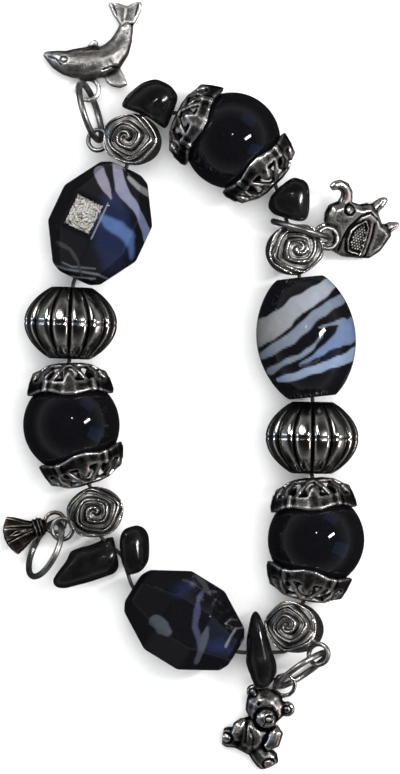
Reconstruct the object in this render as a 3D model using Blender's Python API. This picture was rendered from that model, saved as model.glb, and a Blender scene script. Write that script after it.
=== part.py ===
"""A stretch charm bracelet lying flat: beads on an elastic, with four charms on jump rings."""
import math

import bmesh
import bpy
import numpy as np
from mathutils import Matrix, Vector

MM = 0.001

# Angle in degrees above which an edge is shaded sharp
SHARP_ANGLE = 35.0

# Clearance between pieces that touch
SEAT = 0.3 * MM

# Elastic and the holes it runs through
ELASTIC_RADIUS = 0.35 * MM
BORE_RADIUS = 1.0 * MM
BORE_SIDES = 10
ELASTIC_SIDES = 5
ELASTIC_ROUNDING = 1.2 * MM

# Round glass beads
GLASS_RADIUS = 7.0 * MM
GLASS_SIDES = 14
GLASS_STEPS = 10

# Smooth oval glass bead
OVAL_LENGTH = 17.4 * MM
OVAL_RADIUS = 7.2 * MM
OVAL_END_RADIUS = 3.3 * MM
OVAL_SIDES = 14
OVAL_STEPS = 8
OVAL_FULLNESS = 0.8

# Faceted glass beads
FACET_SIDES = 8
FACETED_LENGTH = 17.6 * MM
FACETED_RADIUS = 7.1 * MM
FACETED_END_RADIUS = 2.4 * MM
# Corners of its profile: share of the half-length, share of the way from end radius to full radius
FACETED_STATIONS = ((1.0, 0.0), (0.92, 0.3), (0.32, 1.0))

# Ribbed silver beads
MELON_LENGTH = 10.4 * MM
MELON_RADIUS = 6.75 * MM
MELON_END_RADIUS = 2.9 * MM
MELON_RIBS = 14
MELON_GROOVE = 0.8 * MM
MELON_STEPS = 8
MELON_FULLNESS = 0.9
# Share of a rib's width that its groove takes on either side
MELON_GROOVE_SHARE = 0.1

# Pierced bead caps
CAP_SECTORS = 5
CAP_DEPTH = 4.6 * MM
CAP_RIM_RADIUS = 6.45 * MM
CAP_BASE_RADIUS = 3.2 * MM
CAP_HOLE_RADIUS = 1.4 * MM
CAP_WALL = 0.65 * MM
CAP_SCALLOP = 0.6 * MM
CAP_TIE_LIFT = 0.3 * MM
CAP_BUD_LIFT = 0.5 * MM
# How far a cap's base stands from the middle of its bead, with its rim seated on the glass
CAP_REACH = CAP_DEPTH + math.sqrt((GLASS_RADIUS + SEAT) ** 2 - (CAP_RIM_RADIUS - CAP_WALL) ** 2)

# Rose beads and their bail loops
ROSE_LENGTH = 7.2 * MM
ROSE_WIDTH = 8.1 * MM
ROSE_HEIGHT = 7.2 * MM
ROSE_RELIEF = 0.45 * MM
ROSE_TURNS = 3
ROSE_COLUMNS = 14
# Share of the radius inside the rose's outline, and how far the dome has dropped at the edge
ROSE_FACE = 0.86
ROSE_DROP = 0.42
# Share of half the height that the upright band of the side takes
ROSE_BAND = 0.3
LOOP_RADIUS = 1.5 * MM
LOOP_WIRE = 0.34 * MM
LOOP_COLUMNS = 12
WIRE_SIDES = 6

# Jump rings
RING_RADIUS = 4.3 * MM
RING_WIRE = 0.45 * MM
RING_COLUMNS = 16

# Charms
DOLPHIN_LENGTH = 13.9 * MM
ELEPHANT_LENGTH = 11.8 * MM
BEAR_LENGTH = 11.0 * MM
POSY_LENGTH = 7.6 * MM

# The string in order, clockwise from above: bead, kind, and heading of its hole in degrees
STRING = (
    ("rose_1", "rose", 77.0),
    ("chip_1", "chip", 3.0),
    ("cap_1a", "cap_in", -26.0),
    ("cap_1b", "cap_out", -46.0),
    ("chip_2", "chip", -73.0),
    ("rose_2", "rose", -77.0),
    ("swirl_2", "oval", -84.0),
    ("melon_2", "melon", -91.0),
    ("cap_2a", "cap_in", -86.0),
    ("cap_2b", "cap_out", -102.0),
    ("rose_3", "rose", -107.0),
    ("chip_5", "chip", 180.0),
    ("swirl_3", "faceted", 148.0),
    ("chip_4", "chip", 106.0),
    ("chip_3", "chip", 142.0),
    ("rose_4", "rose", 101.0),
    ("cap_3b", "cap_in", 107.0),
    ("cap_3a", "cap_out", 92.0),
    ("melon_1", "melon", 88.0),
    ("swirl_1", "faceted", 65.0),
)

# Length of elastic that each chip takes up
CHIP_THREAD = {
    "chip_1": 4.9 * MM,
    "chip_2": 4.7 * MM,
    "chip_3": 3.8 * MM,
    "chip_4": 4.6 * MM,
    "chip_5": 7.0 * MM,
}

# Bead followed by a jump ring that goes round the elastic, and the room the ring is given
RINGED = "chip_2"
RINGED_GAP = 1.1 * MM

# Direction, in degrees, of the face that a chip turns to each neighbour that isn't a rose
CHIP_SEATS = {
    ("chip_1", "cap_1a"): -25.0,
    ("chip_2", "cap_1b"): 136.0,
    ("chip_2", "rose_2"): -106.0,
    ("chip_3", "chip_4"): 11.0,
    ("chip_4", "chip_3"): 191.0,
    ("chip_4", "swirl_3"): -40.0,
    ("chip_5", "swirl_3"): 172.0,
}

# Middle of each chip's stone, measured from the middle of its stretch of elastic
CHIP_MIDDLES = {
    "chip_1": (-0.8 * MM, 1.1 * MM),
    "chip_2": (1.25 * MM, 0.0 * MM),
    "chip_3": (-2.35 * MM, -2.4 * MM),
    "chip_4": (1.0 * MM, 3.2 * MM),
    "chip_5": (-0.3 * MM, 0.4 * MM),
}

# Outline of each stone from above, about its middle, in millimetres
CHIP_OUTLINES = {
    "chip_1": ((3.9, -0.4), (3.9, 1.5), (2.8, 3.0), (0.6, 4.1), (-1.5, 3.5), (-3.8, 1.6), (-4.7, -0.1),
               (-3.2, -2.0), (-0.9, -3.8), (1.2, -4.9), (2.6, -4.4), (3.5, -2.6)),
    "chip_2": ((2.9, 0.6), (2.9, 2.0), (2.5, 3.2), (0.6, 3.8), (-1.7, 2.8), (-2.9, 1.2), (-3.3, -0.7),
               (-2.6, -2.0), (-0.3, -3.2), (1.6, -3.5), (2.5, -2.6), (2.9, -0.9)),
    "chip_3": ((3.9, 1.0), (3.9, 2.9), (2.9, 4.3), (1.2, 3.8), (-0.7, 2.6), (-2.2, 2.3), (-3.8, 1.7),
               (-4.1, 0.4), (-5.2, -0.9), (-6.3, -2.6), (-5.9, -3.6), (-4.5, -3.8), (-0.7, -2.8),
               (2.9, -1.6), (3.6, -0.6)),
    "chip_4": ((2.3, 0.3), (2.2, 2.2), (1.5, 3.3), (0.3, 3.6), (-1.7, 2.9), (-2.3, 1.9), (-2.3, 0.3),
               (-2.4, -1.0), (-2.5, -2.8), (-1.0, -4.2), (1.2, -4.2), (2.4, -2.9), (2.2, -1.5)),
    "chip_5": ((1.8, 0.1), (1.3, 2.0), (0.8, 3.7), (0.0, 5.1), (-0.7, 5.9), (-1.3, 5.1), (-2.3, 3.2),
               (-2.5, 0.6), (-2.2, -1.9), (-1.2, -4.5), (-0.6, -5.8), (0.9, -5.8), (1.7, -4.9),
               (2.5, -3.3), (2.4, -1.5)),
}

# Polished faces above and below each stone: azimuth and elevation in degrees, and distance in millimetres
CHIP_FACES = {
    "chip_1": ((130, 62, 3.2), (-40, 60, 3.3), (0, -90, 3.0)),
    "chip_2": ((60, 86, 3.1), (225, 50, 3.4), (0, -90, 3.0)),
    "chip_3": ((110, 64, 2.8), (290, 58, 2.9), (0, -90, 2.8)),
    "chip_4": ((10, 48, 2.6), (180, 72, 2.8), (0, -90, 2.8)),
    "chip_5": ((8, 58, 2.6), (188, 54, 2.6), (0, -90, 2.8)),
}
CHIP_SHARPNESS = 4
CHIP_ROWS = 8

# Rose beads: turn of the loop from the hole's heading, and roll of the bead about its hole
ROSE_POSES = {
    "rose_1": (102.0, -18.0),
    "rose_2": (96.0, -13.0),
    "rose_3": (60.0, 22.0),
    "rose_4": (106.0, 0.0),
}

# Faceted beads: roll about the hole, with an edge on top at 0 and a facet on top at half a facet
FACETED_ROLLS = {"swirl_1": 0.0, "swirl_3": 180.0 / FACET_SIDES}

# Jump rings: rose that carries it, charm on it, azimuth of its long axis, lean of its upper half,
# where on the ring it meets the rose's loop and the charm's loop, and how far, in millimetres,
# its wire is pulled off the middle of both loops
RINGS = (
    ("ring_1", "rose_1", "dolphin", 107.0, 13.0, 172.0, -38.5, 0.0),
    ("ring_2", "rose_2", "elephant", -16.0, -2.0, -13.0, -44.0, 0.35),
    ("ring_3", "rose_3", "bear", 34.0, 13.0, 43.0, 214.0, 0.0),
    ("ring_4", "rose_4", "posy", 63.5, -23.5, 30.0, -14.0, 0.1),
)

# Charms: direction in degrees in which each lies away from its ring, its roll about that direction,
# how far it is turned about its loop, and the height in millimetres of its lowest point
CHARM_POSES = {
    "dolphin": (97.0, 0.0, 0.0, 0.0),
    "elephant": (18.5, 19.0, -16.0, 0.0),
    "bear": (240.0, 0.0, 0.0, 0.0),
    "posy": (200.0, 12.0, 0.0, 2.5),
}


def clear_scene():
    """Removes whatever the scene holds."""
    for thing in list(bpy.data.objects):
        bpy.data.objects.remove(thing, do_unlink=True)


def material(name, colour, roughness, metallic):
    """A plain surface for a kind of piece."""
    made = bpy.data.materials.new(name)
    made.use_nodes = True
    shader = made.node_tree.nodes["Principled BSDF"]
    shader.inputs["Base Color"].default_value = (*colour, 1.0)
    shader.inputs["Roughness"].default_value = roughness
    shader.inputs["Metallic"].default_value = metallic
    return made


def mesh_from(name, points, faces):
    """A closed mesh with its faces turned outwards."""
    shape = bmesh.new()
    corners = [shape.verts.new(point) for point in points]
    for face in faces:
        shape.faces.new([corners[index] for index in face])
    bmesh.ops.recalc_face_normals(shape, faces=shape.faces)
    mesh = bpy.data.meshes.new(name)
    shape.to_mesh(mesh)
    shape.free()
    mesh.shade_smooth()
    mesh.set_sharp_from_angle(angle=math.radians(SHARP_ANGLE))
    return mesh


def joined(name, first, others, operation):
    """The first mesh with the others united with it or cut from it."""
    base = bpy.data.objects.new(name, first)
    bpy.context.collection.objects.link(base)
    helpers = []
    for index, mesh in enumerate(others):
        helper = bpy.data.objects.new(f"{name}_{index}", mesh)
        bpy.context.collection.objects.link(helper)
        helpers.append(helper)
        modifier = base.modifiers.new(operation, "BOOLEAN")
        modifier.operation = operation
        modifier.solver = "EXACT"
        modifier.object = helper
    graph = bpy.context.evaluated_depsgraph_get()
    result = bpy.data.meshes.new_from_object(base.evaluated_get(graph))
    result.name = name
    for thing in [base, *helpers]:
        bpy.data.objects.remove(thing, do_unlink=True)
    result.shade_smooth()
    result.set_sharp_from_angle(angle=math.radians(SHARP_ANGLE))
    return result


def grid_faces(rings, columns):
    """Faces between neighbouring closed rings of points, one ring after another."""
    faces = []
    for ring in range(rings - 1):
        for column in range(columns):
            after = (column + 1) % columns
            low = ring * columns
            high = low + columns
            faces.append((low + column, low + after, high + after, high + column))
    return faces


def turned(name, profile, sides, radius_at=None):
    """A closed profile of (x, radius) turned about X. radius_at may change a radius with the angle."""
    points = []
    for x, radius in profile:
        for side in range(sides):
            angle = 2 * math.pi * side / sides
            reach = radius_at(x, radius, angle) if radius_at else radius
            points.append((x, -reach * math.sin(angle), reach * math.cos(angle)))
    closed = [*range(len(profile)), 0]
    faces = []
    for low, high in zip(closed, closed[1:]):
        for side in range(sides):
            after = (side + 1) % sides
            faces.append((low * sides + side, low * sides + after,
                          high * sides + after, high * sides + side))
    return mesh_from(name, points, faces)


def sections(name, rings):
    """A solid through closed rings of as many points each, capped at both ends."""
    columns = len(rings[0])
    points = [point for ring in rings for point in ring]
    faces = grid_faces(len(rings), columns)
    faces.append(tuple(range(columns)))
    last = (len(rings) - 1) * columns
    faces.append(tuple(range(last, last + columns)))
    return mesh_from(name, points, faces)


def hoop(name, radius, wire, around, sides, matrix=Matrix()):
    """A round ring of round wire in the XY plane."""
    points = []
    for step in range(around):
        angle = 2 * math.pi * step / around
        for side in range(sides):
            turn = 2 * math.pi * side / sides
            reach = radius + wire * math.cos(turn)
            points.append(matrix @ Vector((reach * math.cos(angle), reach * math.sin(angle),
                                           wire * math.sin(turn))))
    faces = grid_faces(around, sides)
    first = (around - 1) * sides
    for side in range(sides):
        after = (side + 1) % sides
        faces.append((first + side, first + after, after, side))
    return mesh_from(name, points, faces)


def blob(name, centre, radii, columns=10, rows=6, turn=0.0):
    """An ellipsoid, turned about Z by some degrees."""
    spin = Matrix.Rotation(math.radians(turn), 4, "Z")
    points = [Vector(centre) + Vector((0, 0, radii[2]))]
    for row in range(1, rows):
        down = math.pi * row / rows
        for column in range(columns):
            angle = 2 * math.pi * column / columns
            offset = Vector((radii[0] * math.sin(down) * math.cos(angle),
                             radii[1] * math.sin(down) * math.sin(angle), radii[2] * math.cos(down)))
            points.append(Vector(centre) + spin @ offset)
    points.append(Vector(centre) - Vector((0, 0, radii[2])))
    faces = []
    for column in range(columns):
        after = (column + 1) % columns
        faces.append((0, 1 + column, 1 + after))
        last = 1 + (rows - 2) * columns
        faces.append((len(points) - 1, last + after, last + column))
    for row in range(rows - 2):
        for column in range(columns):
            after = (column + 1) % columns
            low = 1 + row * columns
            faces.append((low + column, low + columns + column, low + columns + after, low + after))
    return mesh_from(name, points, faces)


def limb(name, path, sides=8):
    """A round limb through rows of x, y, z, half-width and half-height."""
    centres = [Vector(row[:3]) for row in path]
    rings = []
    for index, row in enumerate(path):
        before = centres[max(index - 1, 0)]
        after = centres[min(index + 1, len(path) - 1)]
        along = (after - before).normalized()
        across = Vector((0, 0, 1)).cross(along).normalized()
        up = along.cross(across)
        ring = []
        for side in range(sides):
            turn = 2 * math.pi * side / sides
            ring.append(centres[index] + across * row[3] * math.cos(turn) + up * row[4] * math.sin(turn))
        rings.append(ring)
    return sections(name, rings)


def plate(name, outline, low, high, rim=0.0, sunk=0.0):
    """A flat plate between two heights. A sunk middle leaves a raised rim of the given width."""
    shape = bmesh.new()
    face = shape.faces.new([shape.verts.new((x, y, high)) for x, y in outline])
    wall = bmesh.ops.extrude_face_region(shape, geom=[face])
    for item in wall["geom"]:
        if isinstance(item, bmesh.types.BMVert):
            item.co.z = low
    if rim:
        top = max(shape.faces, key=lambda item: item.calc_center_median().z)
        bmesh.ops.inset_region(shape, faces=[top], thickness=rim)
        for vertex in top.verts:
            vertex.co.z -= sunk
    bmesh.ops.recalc_face_normals(shape, faces=shape.faces)
    mesh = bpy.data.meshes.new(name)
    shape.to_mesh(mesh)
    shape.free()
    return mesh


def bore(length, heading=0.0, centre=(0, 0, 0)):
    """A cutter for the hole through a bead."""
    place = Matrix.Translation(centre) @ Matrix.Rotation(heading, 4, "Z")
    rings = []
    for x in (-length / 2, length / 2):
        ring = []
        for side in range(BORE_SIDES):
            angle = 2 * math.pi * (side + 0.5) / BORE_SIDES
            ring.append(place @ Vector((x, BORE_RADIUS * math.cos(angle), BORE_RADIUS * math.sin(angle))))
        rings.append(ring)
    return sections("bore", rings)


def round_profile():
    """Outer arc of a round bead from hole rim to hole rim."""
    start = math.asin(BORE_RADIUS / GLASS_RADIUS)
    profile = []
    for step in range(GLASS_STEPS + 1):
        angle = start + (math.pi - 2 * start) * step / GLASS_STEPS
        profile.append((GLASS_RADIUS * math.cos(angle), GLASS_RADIUS * math.sin(angle)))
    return profile


def oval_profile():
    """Outer curve of the oval bead: a full barrel that ends in small flats."""
    half = OVAL_LENGTH / 2
    profile = [(half, BORE_RADIUS)]
    for step in range(OVAL_STEPS + 1):
        share = math.cos(math.pi * step / OVAL_STEPS)
        swell = (1 - share ** 2) ** OVAL_FULLNESS
        profile.append((half * share, OVAL_END_RADIUS + (OVAL_RADIUS - OVAL_END_RADIUS) * swell))
    profile.append((-half, BORE_RADIUS))
    return profile


def faceted_profile():
    """Outer corners of the faceted bead."""
    half = FACETED_LENGTH / 2
    swell = FACETED_RADIUS - FACETED_END_RADIUS
    side = [(half * along, FACETED_END_RADIUS + swell * share) for along, share in FACETED_STATIONS]
    other = [(-x, radius) for x, radius in reversed(side)]
    return [(half, BORE_RADIUS), *side, *other, (-half, BORE_RADIUS)]


def melon_profile():
    """Outer curve of the ribbed bead."""
    half = MELON_LENGTH / 2
    profile = [(half, BORE_RADIUS)]
    for step in range(MELON_STEPS + 1):
        share = math.cos(math.pi * step / MELON_STEPS)
        swell = (1 - share ** 2) ** MELON_FULLNESS
        profile.append((half * share, MELON_END_RADIUS + (MELON_RADIUS - MELON_END_RADIUS) * swell))
    profile.append((-half, BORE_RADIUS))
    return profile


def melon_radius(x, radius, angle):
    """Radius of the ribbed bead, pinched at each groove."""
    if radius <= MELON_END_RADIUS:
        return radius
    fullness = (radius - MELON_END_RADIUS) / (MELON_RADIUS - MELON_END_RADIUS)
    phase = (angle * MELON_RIBS / (2 * math.pi)) % 1.0
    pinch = 1.0 if min(phase, 1 - phase) < MELON_GROOVE_SHARE else 0.0
    return radius - MELON_GROOVE * pinch * fullness ** 0.5


def reach_of(profile, turn):
    """How far a turned profile reaches in a direction that far off its axis."""
    return max(x * math.cos(turn) + radius * abs(math.sin(turn)) for x, radius in profile)


def cap_profile(share, lift):
    """Point (x, radius) of the cap's wall: 0 hole, 1 edge of its base, 2 inside of its rim, 3 to 4 rim."""
    slope = CAP_RIM_RADIUS - CAP_BASE_RADIUS
    outer_x = (0.0, 0.07 * CAP_DEPTH, 0.29 * CAP_DEPTH, 0.56 * CAP_DEPTH, CAP_DEPTH - CAP_SCALLOP, CAP_DEPTH)
    outer_r = (CAP_HOLE_RADIUS, CAP_BASE_RADIUS, CAP_BASE_RADIUS + 0.54 * slope,
               CAP_BASE_RADIUS + 0.84 * slope, CAP_BASE_RADIUS + 0.95 * slope, CAP_RIM_RADIUS)
    stations = (0.0, 1.0, 1.5, 2.0, 3.0, 4.0)
    x = float(np.interp(share, stations, outer_x))
    radius = float(np.interp(share, stations, outer_r))
    lean = math.radians(float(np.interp(share, stations, (90, 70, 48, 30, 12, 8))))
    return x - lift * math.sin(lean), radius + lift * math.cos(lean)


def cap_mesh():
    """A pierced cap: base ring, struts in pairs, scalloped rim, wrapped ties and a bud in each arc."""
    sector = 360.0 / CAP_SECTORS
    outer = []
    inner = []
    index = {}

    def corner(key, share, degrees, lift=0.0):
        """Adds one point of the wall, outside and inside."""
        index[key] = len(outer)
        angle = math.radians(degrees)
        for points, height in ((outer, lift), (inner, -CAP_WALL)):
            x, radius = cap_profile(share, height)
            points.append((x, -radius * math.sin(angle), radius * math.cos(angle)))

    # Angles are shares of a sector, whose middle is at 0 and whose ties are at 0.5 either side
    base_columns = (-0.5, -0.21, -0.08, 0.08, 0.21)
    rim_columns = (-0.43, -0.33, -0.1, 0.1, 0.33, 0.43, 0.46, 0.54)
    rim_edges = {-0.43: 3.0, -0.33: 3.3, -0.1: 4.0, 0.1: 4.0, 0.33: 3.3, 0.43: 3.0, 0.46: 3.2, 0.54: 3.2}
    bud = ((-0.14, 1.75), (-0.1, 1.42), (0.0, 1.28), (0.1, 1.42), (0.14, 1.75))
    for turn in range(CAP_SECTORS):
        middle = sector * turn
        for column in base_columns:
            corner(("hole", turn, column), 0.0, middle + sector * column)
            corner(("base", turn, column), 1.0, middle + sector * column)
        for column in rim_columns:
            tied = column > 0.45
            lift = CAP_TIE_LIFT if tied else 0.0
            corner(("in", turn, column), 1.9 if tied else 2.0, middle + sector * column, lift)
            corner(("out", turn, column), rim_edges[column], middle + sector * column, lift)
        for side in (-1, 1):
            corner(("near", turn, side), 1.5, middle + sector * 0.22 * side)
            corner(("far", turn, side), 1.5, middle + sector * 0.33 * side)
        for column, share in bud:
            corner(("bud", turn, column), share, middle + sector * column)
        corner(("eye", turn, 0), 1.65, middle, CAP_BUD_LIFT)

    faces = []
    for turn in range(CAP_SECTORS):
        after = (turn + 1) % CAP_SECTORS
        base = [(turn, column) for column in base_columns] + [(after, base_columns[0])]
        for low, high in zip(base, base[1:]):
            faces.append((("hole", *low), ("hole", *high), ("base", *high), ("base", *low)))
        rim = [(turn, column) for column in rim_columns] + [(after, rim_columns[0])]
        for low, high in zip(rim, rim[1:]):
            faces.append((("in", *low), ("in", *high), ("out", *high), ("out", *low)))
        for side in (-1, 1):
            foot = ("base", turn, 0.08 * side), ("base", turn, 0.21 * side)
            waist = ("near", turn, side), ("far", turn, side)
            head = ("in", turn, 0.33 * side), ("in", turn, 0.43 * side)
            for low, high in ((foot, waist), (waist, head)):
                strip = (low[0], low[1], high[1], high[0])
                faces.append(strip if side > 0 else strip[::-1])
        around = [("in", turn, -0.1), *(("bud", turn, column) for column, _ in bud), ("in", turn, 0.1)]
        for low, high in zip(around, around[1:] + around[:1]):
            faces.append((("eye", turn, 0), low, high))
    numbered = [[index[key] for key in face] for face in faces]
    return walled("cap", outer, inner, numbered)


def walled(name, outer, inner, faces):
    """A sheet of faces given thickness: outer and inner points, with walls along its open edges."""
    count = len(outer)
    edges = {}
    for face in faces:
        for low, high in zip(face, face[1:] + face[:1]):
            edges[(low, high)] = True
    solid = [tuple(face) for face in faces]
    solid += [tuple(count + index for index in reversed(face)) for face in faces]
    for low, high in edges:
        if (high, low) not in edges:
            solid.append((high, low, count + low, count + high))
    return mesh_from(name, [*outer, *inner], solid)


def rose_height(share):
    """Height of the rose bead's domed face at a share of its radius."""
    return 0.5 * ROSE_HEIGHT * (1 - ROSE_DROP * share ** 2.4)


def rose_mesh(name, loop_turn):
    """A rose bead: spiral relief on its face, a bulging side, a plain dome below, and a bail loop."""
    radius = ROSE_WIDTH / 2
    stretch = ROSE_LENGTH / ROSE_WIDTH
    rings = 2 * ROSE_TURNS
    columns = ROSE_COLUMNS
    points = [(0, 0, rose_height(0))]
    for ring in range(rings):
        for column in range(columns):
            turn = column / columns
            share = ROSE_FACE
            if ring < rings - 1:
                share *= (ring + 0.5 + 2 * turn * (1 - ring / (rings - 1))) / (rings + 0.3)
            crest = -ROSE_RELIEF if ring % 2 == 0 else 0.0
            angle = 2 * math.pi * turn
            points.append((radius * share * stretch * math.cos(angle), radius * share * math.sin(angle),
                           rose_height(share) + crest))
    # Rows down the side: share of the radius, share of half the height
    for share, level in ((1.0, ROSE_BAND), (1.0, -ROSE_BAND), (0.82, -0.75), (0.45, -0.97)):
        for column in range(columns):
            angle = 2 * math.pi * column / columns
            points.append((radius * share * stretch * math.cos(angle), radius * share * math.sin(angle),
                           level * ROSE_HEIGHT / 2))
    points.append((0, 0, -ROSE_HEIGHT / 2))

    def at(ring, column):
        """Number of a point, where the end of a spiral arm runs into the start of the one outside it."""
        if column == columns:
            ring = ring + 2 if ring + 2 < rings else rings - 1
            column = 0
        return 1 + ring * columns + column

    faces = [(0, at(0, column), at(0, column + 1)) for column in range(columns - 1)]
    inner_end = at(0, columns - 1)
    faces += [(0, inner_end, at(0, 0)), (inner_end, at(1, 0), at(0, 0)), (inner_end, at(2, 0), at(1, 0))]
    for ring in range(rings - 1):
        for column in range(columns):
            corners = [at(ring, column), at(ring + 1, column), at(ring + 1, column + 1),
                       at(ring, column + 1)]
            kept = list(dict.fromkeys(corners))
            if len(kept) > 2:
                faces.append(tuple(kept))
    side = 1 + (rings - 1) * columns
    faces += [tuple(side + index for index in face) for face in grid_faces(5, columns)]
    bottom = side + 4 * columns
    for column in range(columns):
        faces.append((len(points) - 1, bottom + (column + 1) % columns, bottom + column))
    body = mesh_from(name, points, faces)
    middle = Matrix.Translation(rose_loop(loop_turn))
    loop = hoop("loop", LOOP_RADIUS, LOOP_WIRE, LOOP_COLUMNS, WIRE_SIDES, middle)
    whole = joined(name, body, [loop], "UNION")
    return joined(name, whole, [bore(2 * ROSE_WIDTH)], "DIFFERENCE")


def rose_loop(loop_turn):
    """Middle of a rose bead's loop in the bead's own frame."""
    out = ROSE_WIDTH / 2 + LOOP_RADIUS - LOOP_WIRE / 2
    turn = math.radians(loop_turn)
    return Vector((out * math.cos(turn), out * math.sin(turn), 0))


def direction(azimuth, elevation=0.0):
    """Unit vector of an azimuth and an elevation in degrees."""
    side = math.cos(math.radians(elevation))
    return Vector((side * math.cos(math.radians(azimuth)), side * math.sin(math.radians(azimuth)),
                   math.sin(math.radians(elevation))))


def chip_mesh(name, clamps, heading):
    """A tumbled stone chip: a rounded outline between its polished faces, drilled for the elastic."""
    middle = Vector((*CHIP_MIDDLES[name], 0))
    faces = [(direction(azimuth, lift), reach * MM) for azimuth, lift, reach in CHIP_FACES[name]]
    tall = min(reach for _, reach in faces)

    def surface(edge, level):
        """Point of the skin over one corner of the outline: level is 90 on top, 0 at the waist."""
        side = math.cos(math.radians(level))
        way = Vector((edge.x * side, edge.y * side, tall * math.sin(math.radians(level)))).normalized()
        total = (way.xy.length / edge.length) ** CHIP_SHARPNESS
        total += sum(max(0.0, normal.dot(way) / reach) ** CHIP_SHARPNESS for normal, reach in faces)
        reach = total ** (-1 / CHIP_SHARPNESS)
        return middle + way * min([reach, *(clamp(way) for clamp in clamps)])

    edges = [Vector(corner) * MM for corner in CHIP_OUTLINES[name]]
    columns = len(edges)
    points = [surface(edges[0], 90)]
    for row in range(1, CHIP_ROWS):
        points += [surface(edge, 90 - 180 * row / CHIP_ROWS) for edge in edges]
    points.append(surface(edges[0], -90))
    mesh_faces = []
    last = 1 + (CHIP_ROWS - 2) * columns
    for column in range(columns):
        after = (column + 1) % columns
        mesh_faces.append((0, 1 + column, 1 + after))
        mesh_faces.append((len(points) - 1, last + after, last + column))
    for row in range(CHIP_ROWS - 2):
        low = 1 + row * columns
        for column in range(columns):
            after = (column + 1) % columns
            mesh_faces.append((low + column, low + columns + column, low + columns + after, low + after))
    stone = mesh_from(name, points, mesh_faces)
    span = 4 * max(edge.length for edge in edges)
    return joined(name, stone, [bore(span, heading)], "DIFFERENCE")


def scaled(rows, unit):
    """Rows of numbers times a unit."""
    return [tuple(value * unit for value in row) for row in rows]


def dolphin_mesh():
    """A leaping dolphin, with its loop at the origin."""
    unit = DOLPHIN_LENGTH / 13.9
    # Body from nose to tail: x, y, z, half-width and half-height
    spine = ((-6.3, 5.15, 0.2, 0.3, 0.3), (-5.6, 5.1, 0.3, 0.5, 0.5), (-4.9, 4.8, 0.3, 0.75, 0.8),
             (-3.9, 4.2, 0.4, 1.6, 1.4), (-2.3, 3.85, 0.4, 2.2, 1.8), (-0.2, 3.8, 0.4, 2.5, 1.95),
             (1.9, 4.0, 0.4, 2.4, 1.9), (3.6, 4.7, 0.4, 2.0, 1.7), (4.7, 5.9, 0.3, 1.5, 1.3),
             (5.3, 7.3, 0.1, 1.15, 1.0), (5.6, 9.0, 0.0, 1.0, 0.85), (5.75, 10.6, -0.1, 0.95, 0.7),
             (5.8, 12.1, -0.2, 0.5, 0.5))
    outlines = (
        ((4.7, 9.6), (3.6, 11.2), (2.9, 12.9), (4.3, 12.8), (5.8, 12.3), (6.7, 12.9), (7.8, 13.0),
         (7.7, 11.8), (6.8, 9.8)),
        ((-0.6, 5.6), (0.3, 6.9), (0.9, 7.4), (1.4, 7.1), (1.5, 5.6)),
        ((2.3, 2.4), (2.6, 1.2), (3.3, 0.6), (4.6, 0.25), (5.7, 0.7), (5.4, 1.8), (4.6, 3.2)),
    )
    body = limb("dolphin", scaled(spine, unit))
    parts = [plate("fin", scaled(outline, unit), -0.6 * unit, 0.55 * unit) for outline in outlines]
    parts.append(blob("eye", (-3.5 * unit, 4.15 * unit, 1.7 * unit), [0.4 * unit] * 3, 6, 4))
    parts.append(hoop("loop", 1.6 * unit, 0.38 * unit, LOOP_COLUMNS, WIRE_SIDES))
    return joined("dolphin", body, parts, "UNION")


def elephant_mesh():
    """An elephant with a raised trunk, seen from its side, with its loop at the origin."""
    unit = ELEPHANT_LENGTH / 12.1
    body = ((0.6, 5.4), (2.5, 5.8), (3.9, 5.8), (5.1, 6.4), (6.7, 5.5), (7.8, 4.2), (8.8, 3.9), (9.9, 3.0),
            (9.5, 1.6), (9.0, 0.1), (7.7, -1.4), (5.6, -1.9), (3.6, -2.3), (2.3, -2.1), (1.8, -0.6),
            (0.7, 1.5), (-0.6, 1.8), (-0.9, 3.0), (-0.7, 4.4))
    ear = ((4.9, 4.1), (3.6, 2.9), (3.0, 1.8), (3.0, 0.3), (3.7, -1.2), (5.9, -1.2), (5.8, 1.4), (5.7, 3.0))
    # Trunk and legs: x, y, z, half-width and half-height
    limbs = (
        ((1.3, 5.0, 0.1, 1.25, 0.95), (1.3, 6.1, 0.1, 1.05, 0.85), (1.1, 7.0, 0.1, 0.95, 0.8),
         (0.4, 7.7, 0.1, 0.9, 0.75), (-0.5, 7.8, 0.1, 0.85, 0.7), (-1.2, 7.4, 0.1, 0.75, 0.65),
         (-1.6, 6.9, 0.1, 0.5, 0.45)),
        ((5.7, 5.2, 0.1, 1.2, 0.9), (6.3, 6.4, 0.1, 0.85, 0.8), (6.8, 7.4, 0.1, 0.6, 0.6),
         (7.0, 7.8, 0.1, 0.35, 0.35)),
        ((8.6, 3.1, 0.1, 1.1, 0.9), (9.5, 3.9, 0.1, 0.75, 0.7), (10.3, 4.6, 0.1, 0.5, 0.5),
         (10.6, 4.9, 0.1, 0.25, 0.25)),
    )
    whole = plate("elephant", scaled(body, unit), -0.9 * unit, 0.9 * unit, 0.7 * unit, -0.6 * unit)
    parts = [limb("limb", scaled(path, unit)) for path in limbs]
    parts.append(plate("ear", scaled(ear, unit), 0.6 * unit, 2.1 * unit, 0.4 * unit, 0.4 * unit))
    parts.append(blob("eye", (1.9 * unit, 4.7 * unit, 1.4 * unit), [0.6 * unit] * 3, 8, 4))
    parts.append(hoop("loop", 1.5 * unit, 0.36 * unit, LOOP_COLUMNS, WIRE_SIDES))
    return joined("elephant", whole, parts, "UNION")


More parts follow.
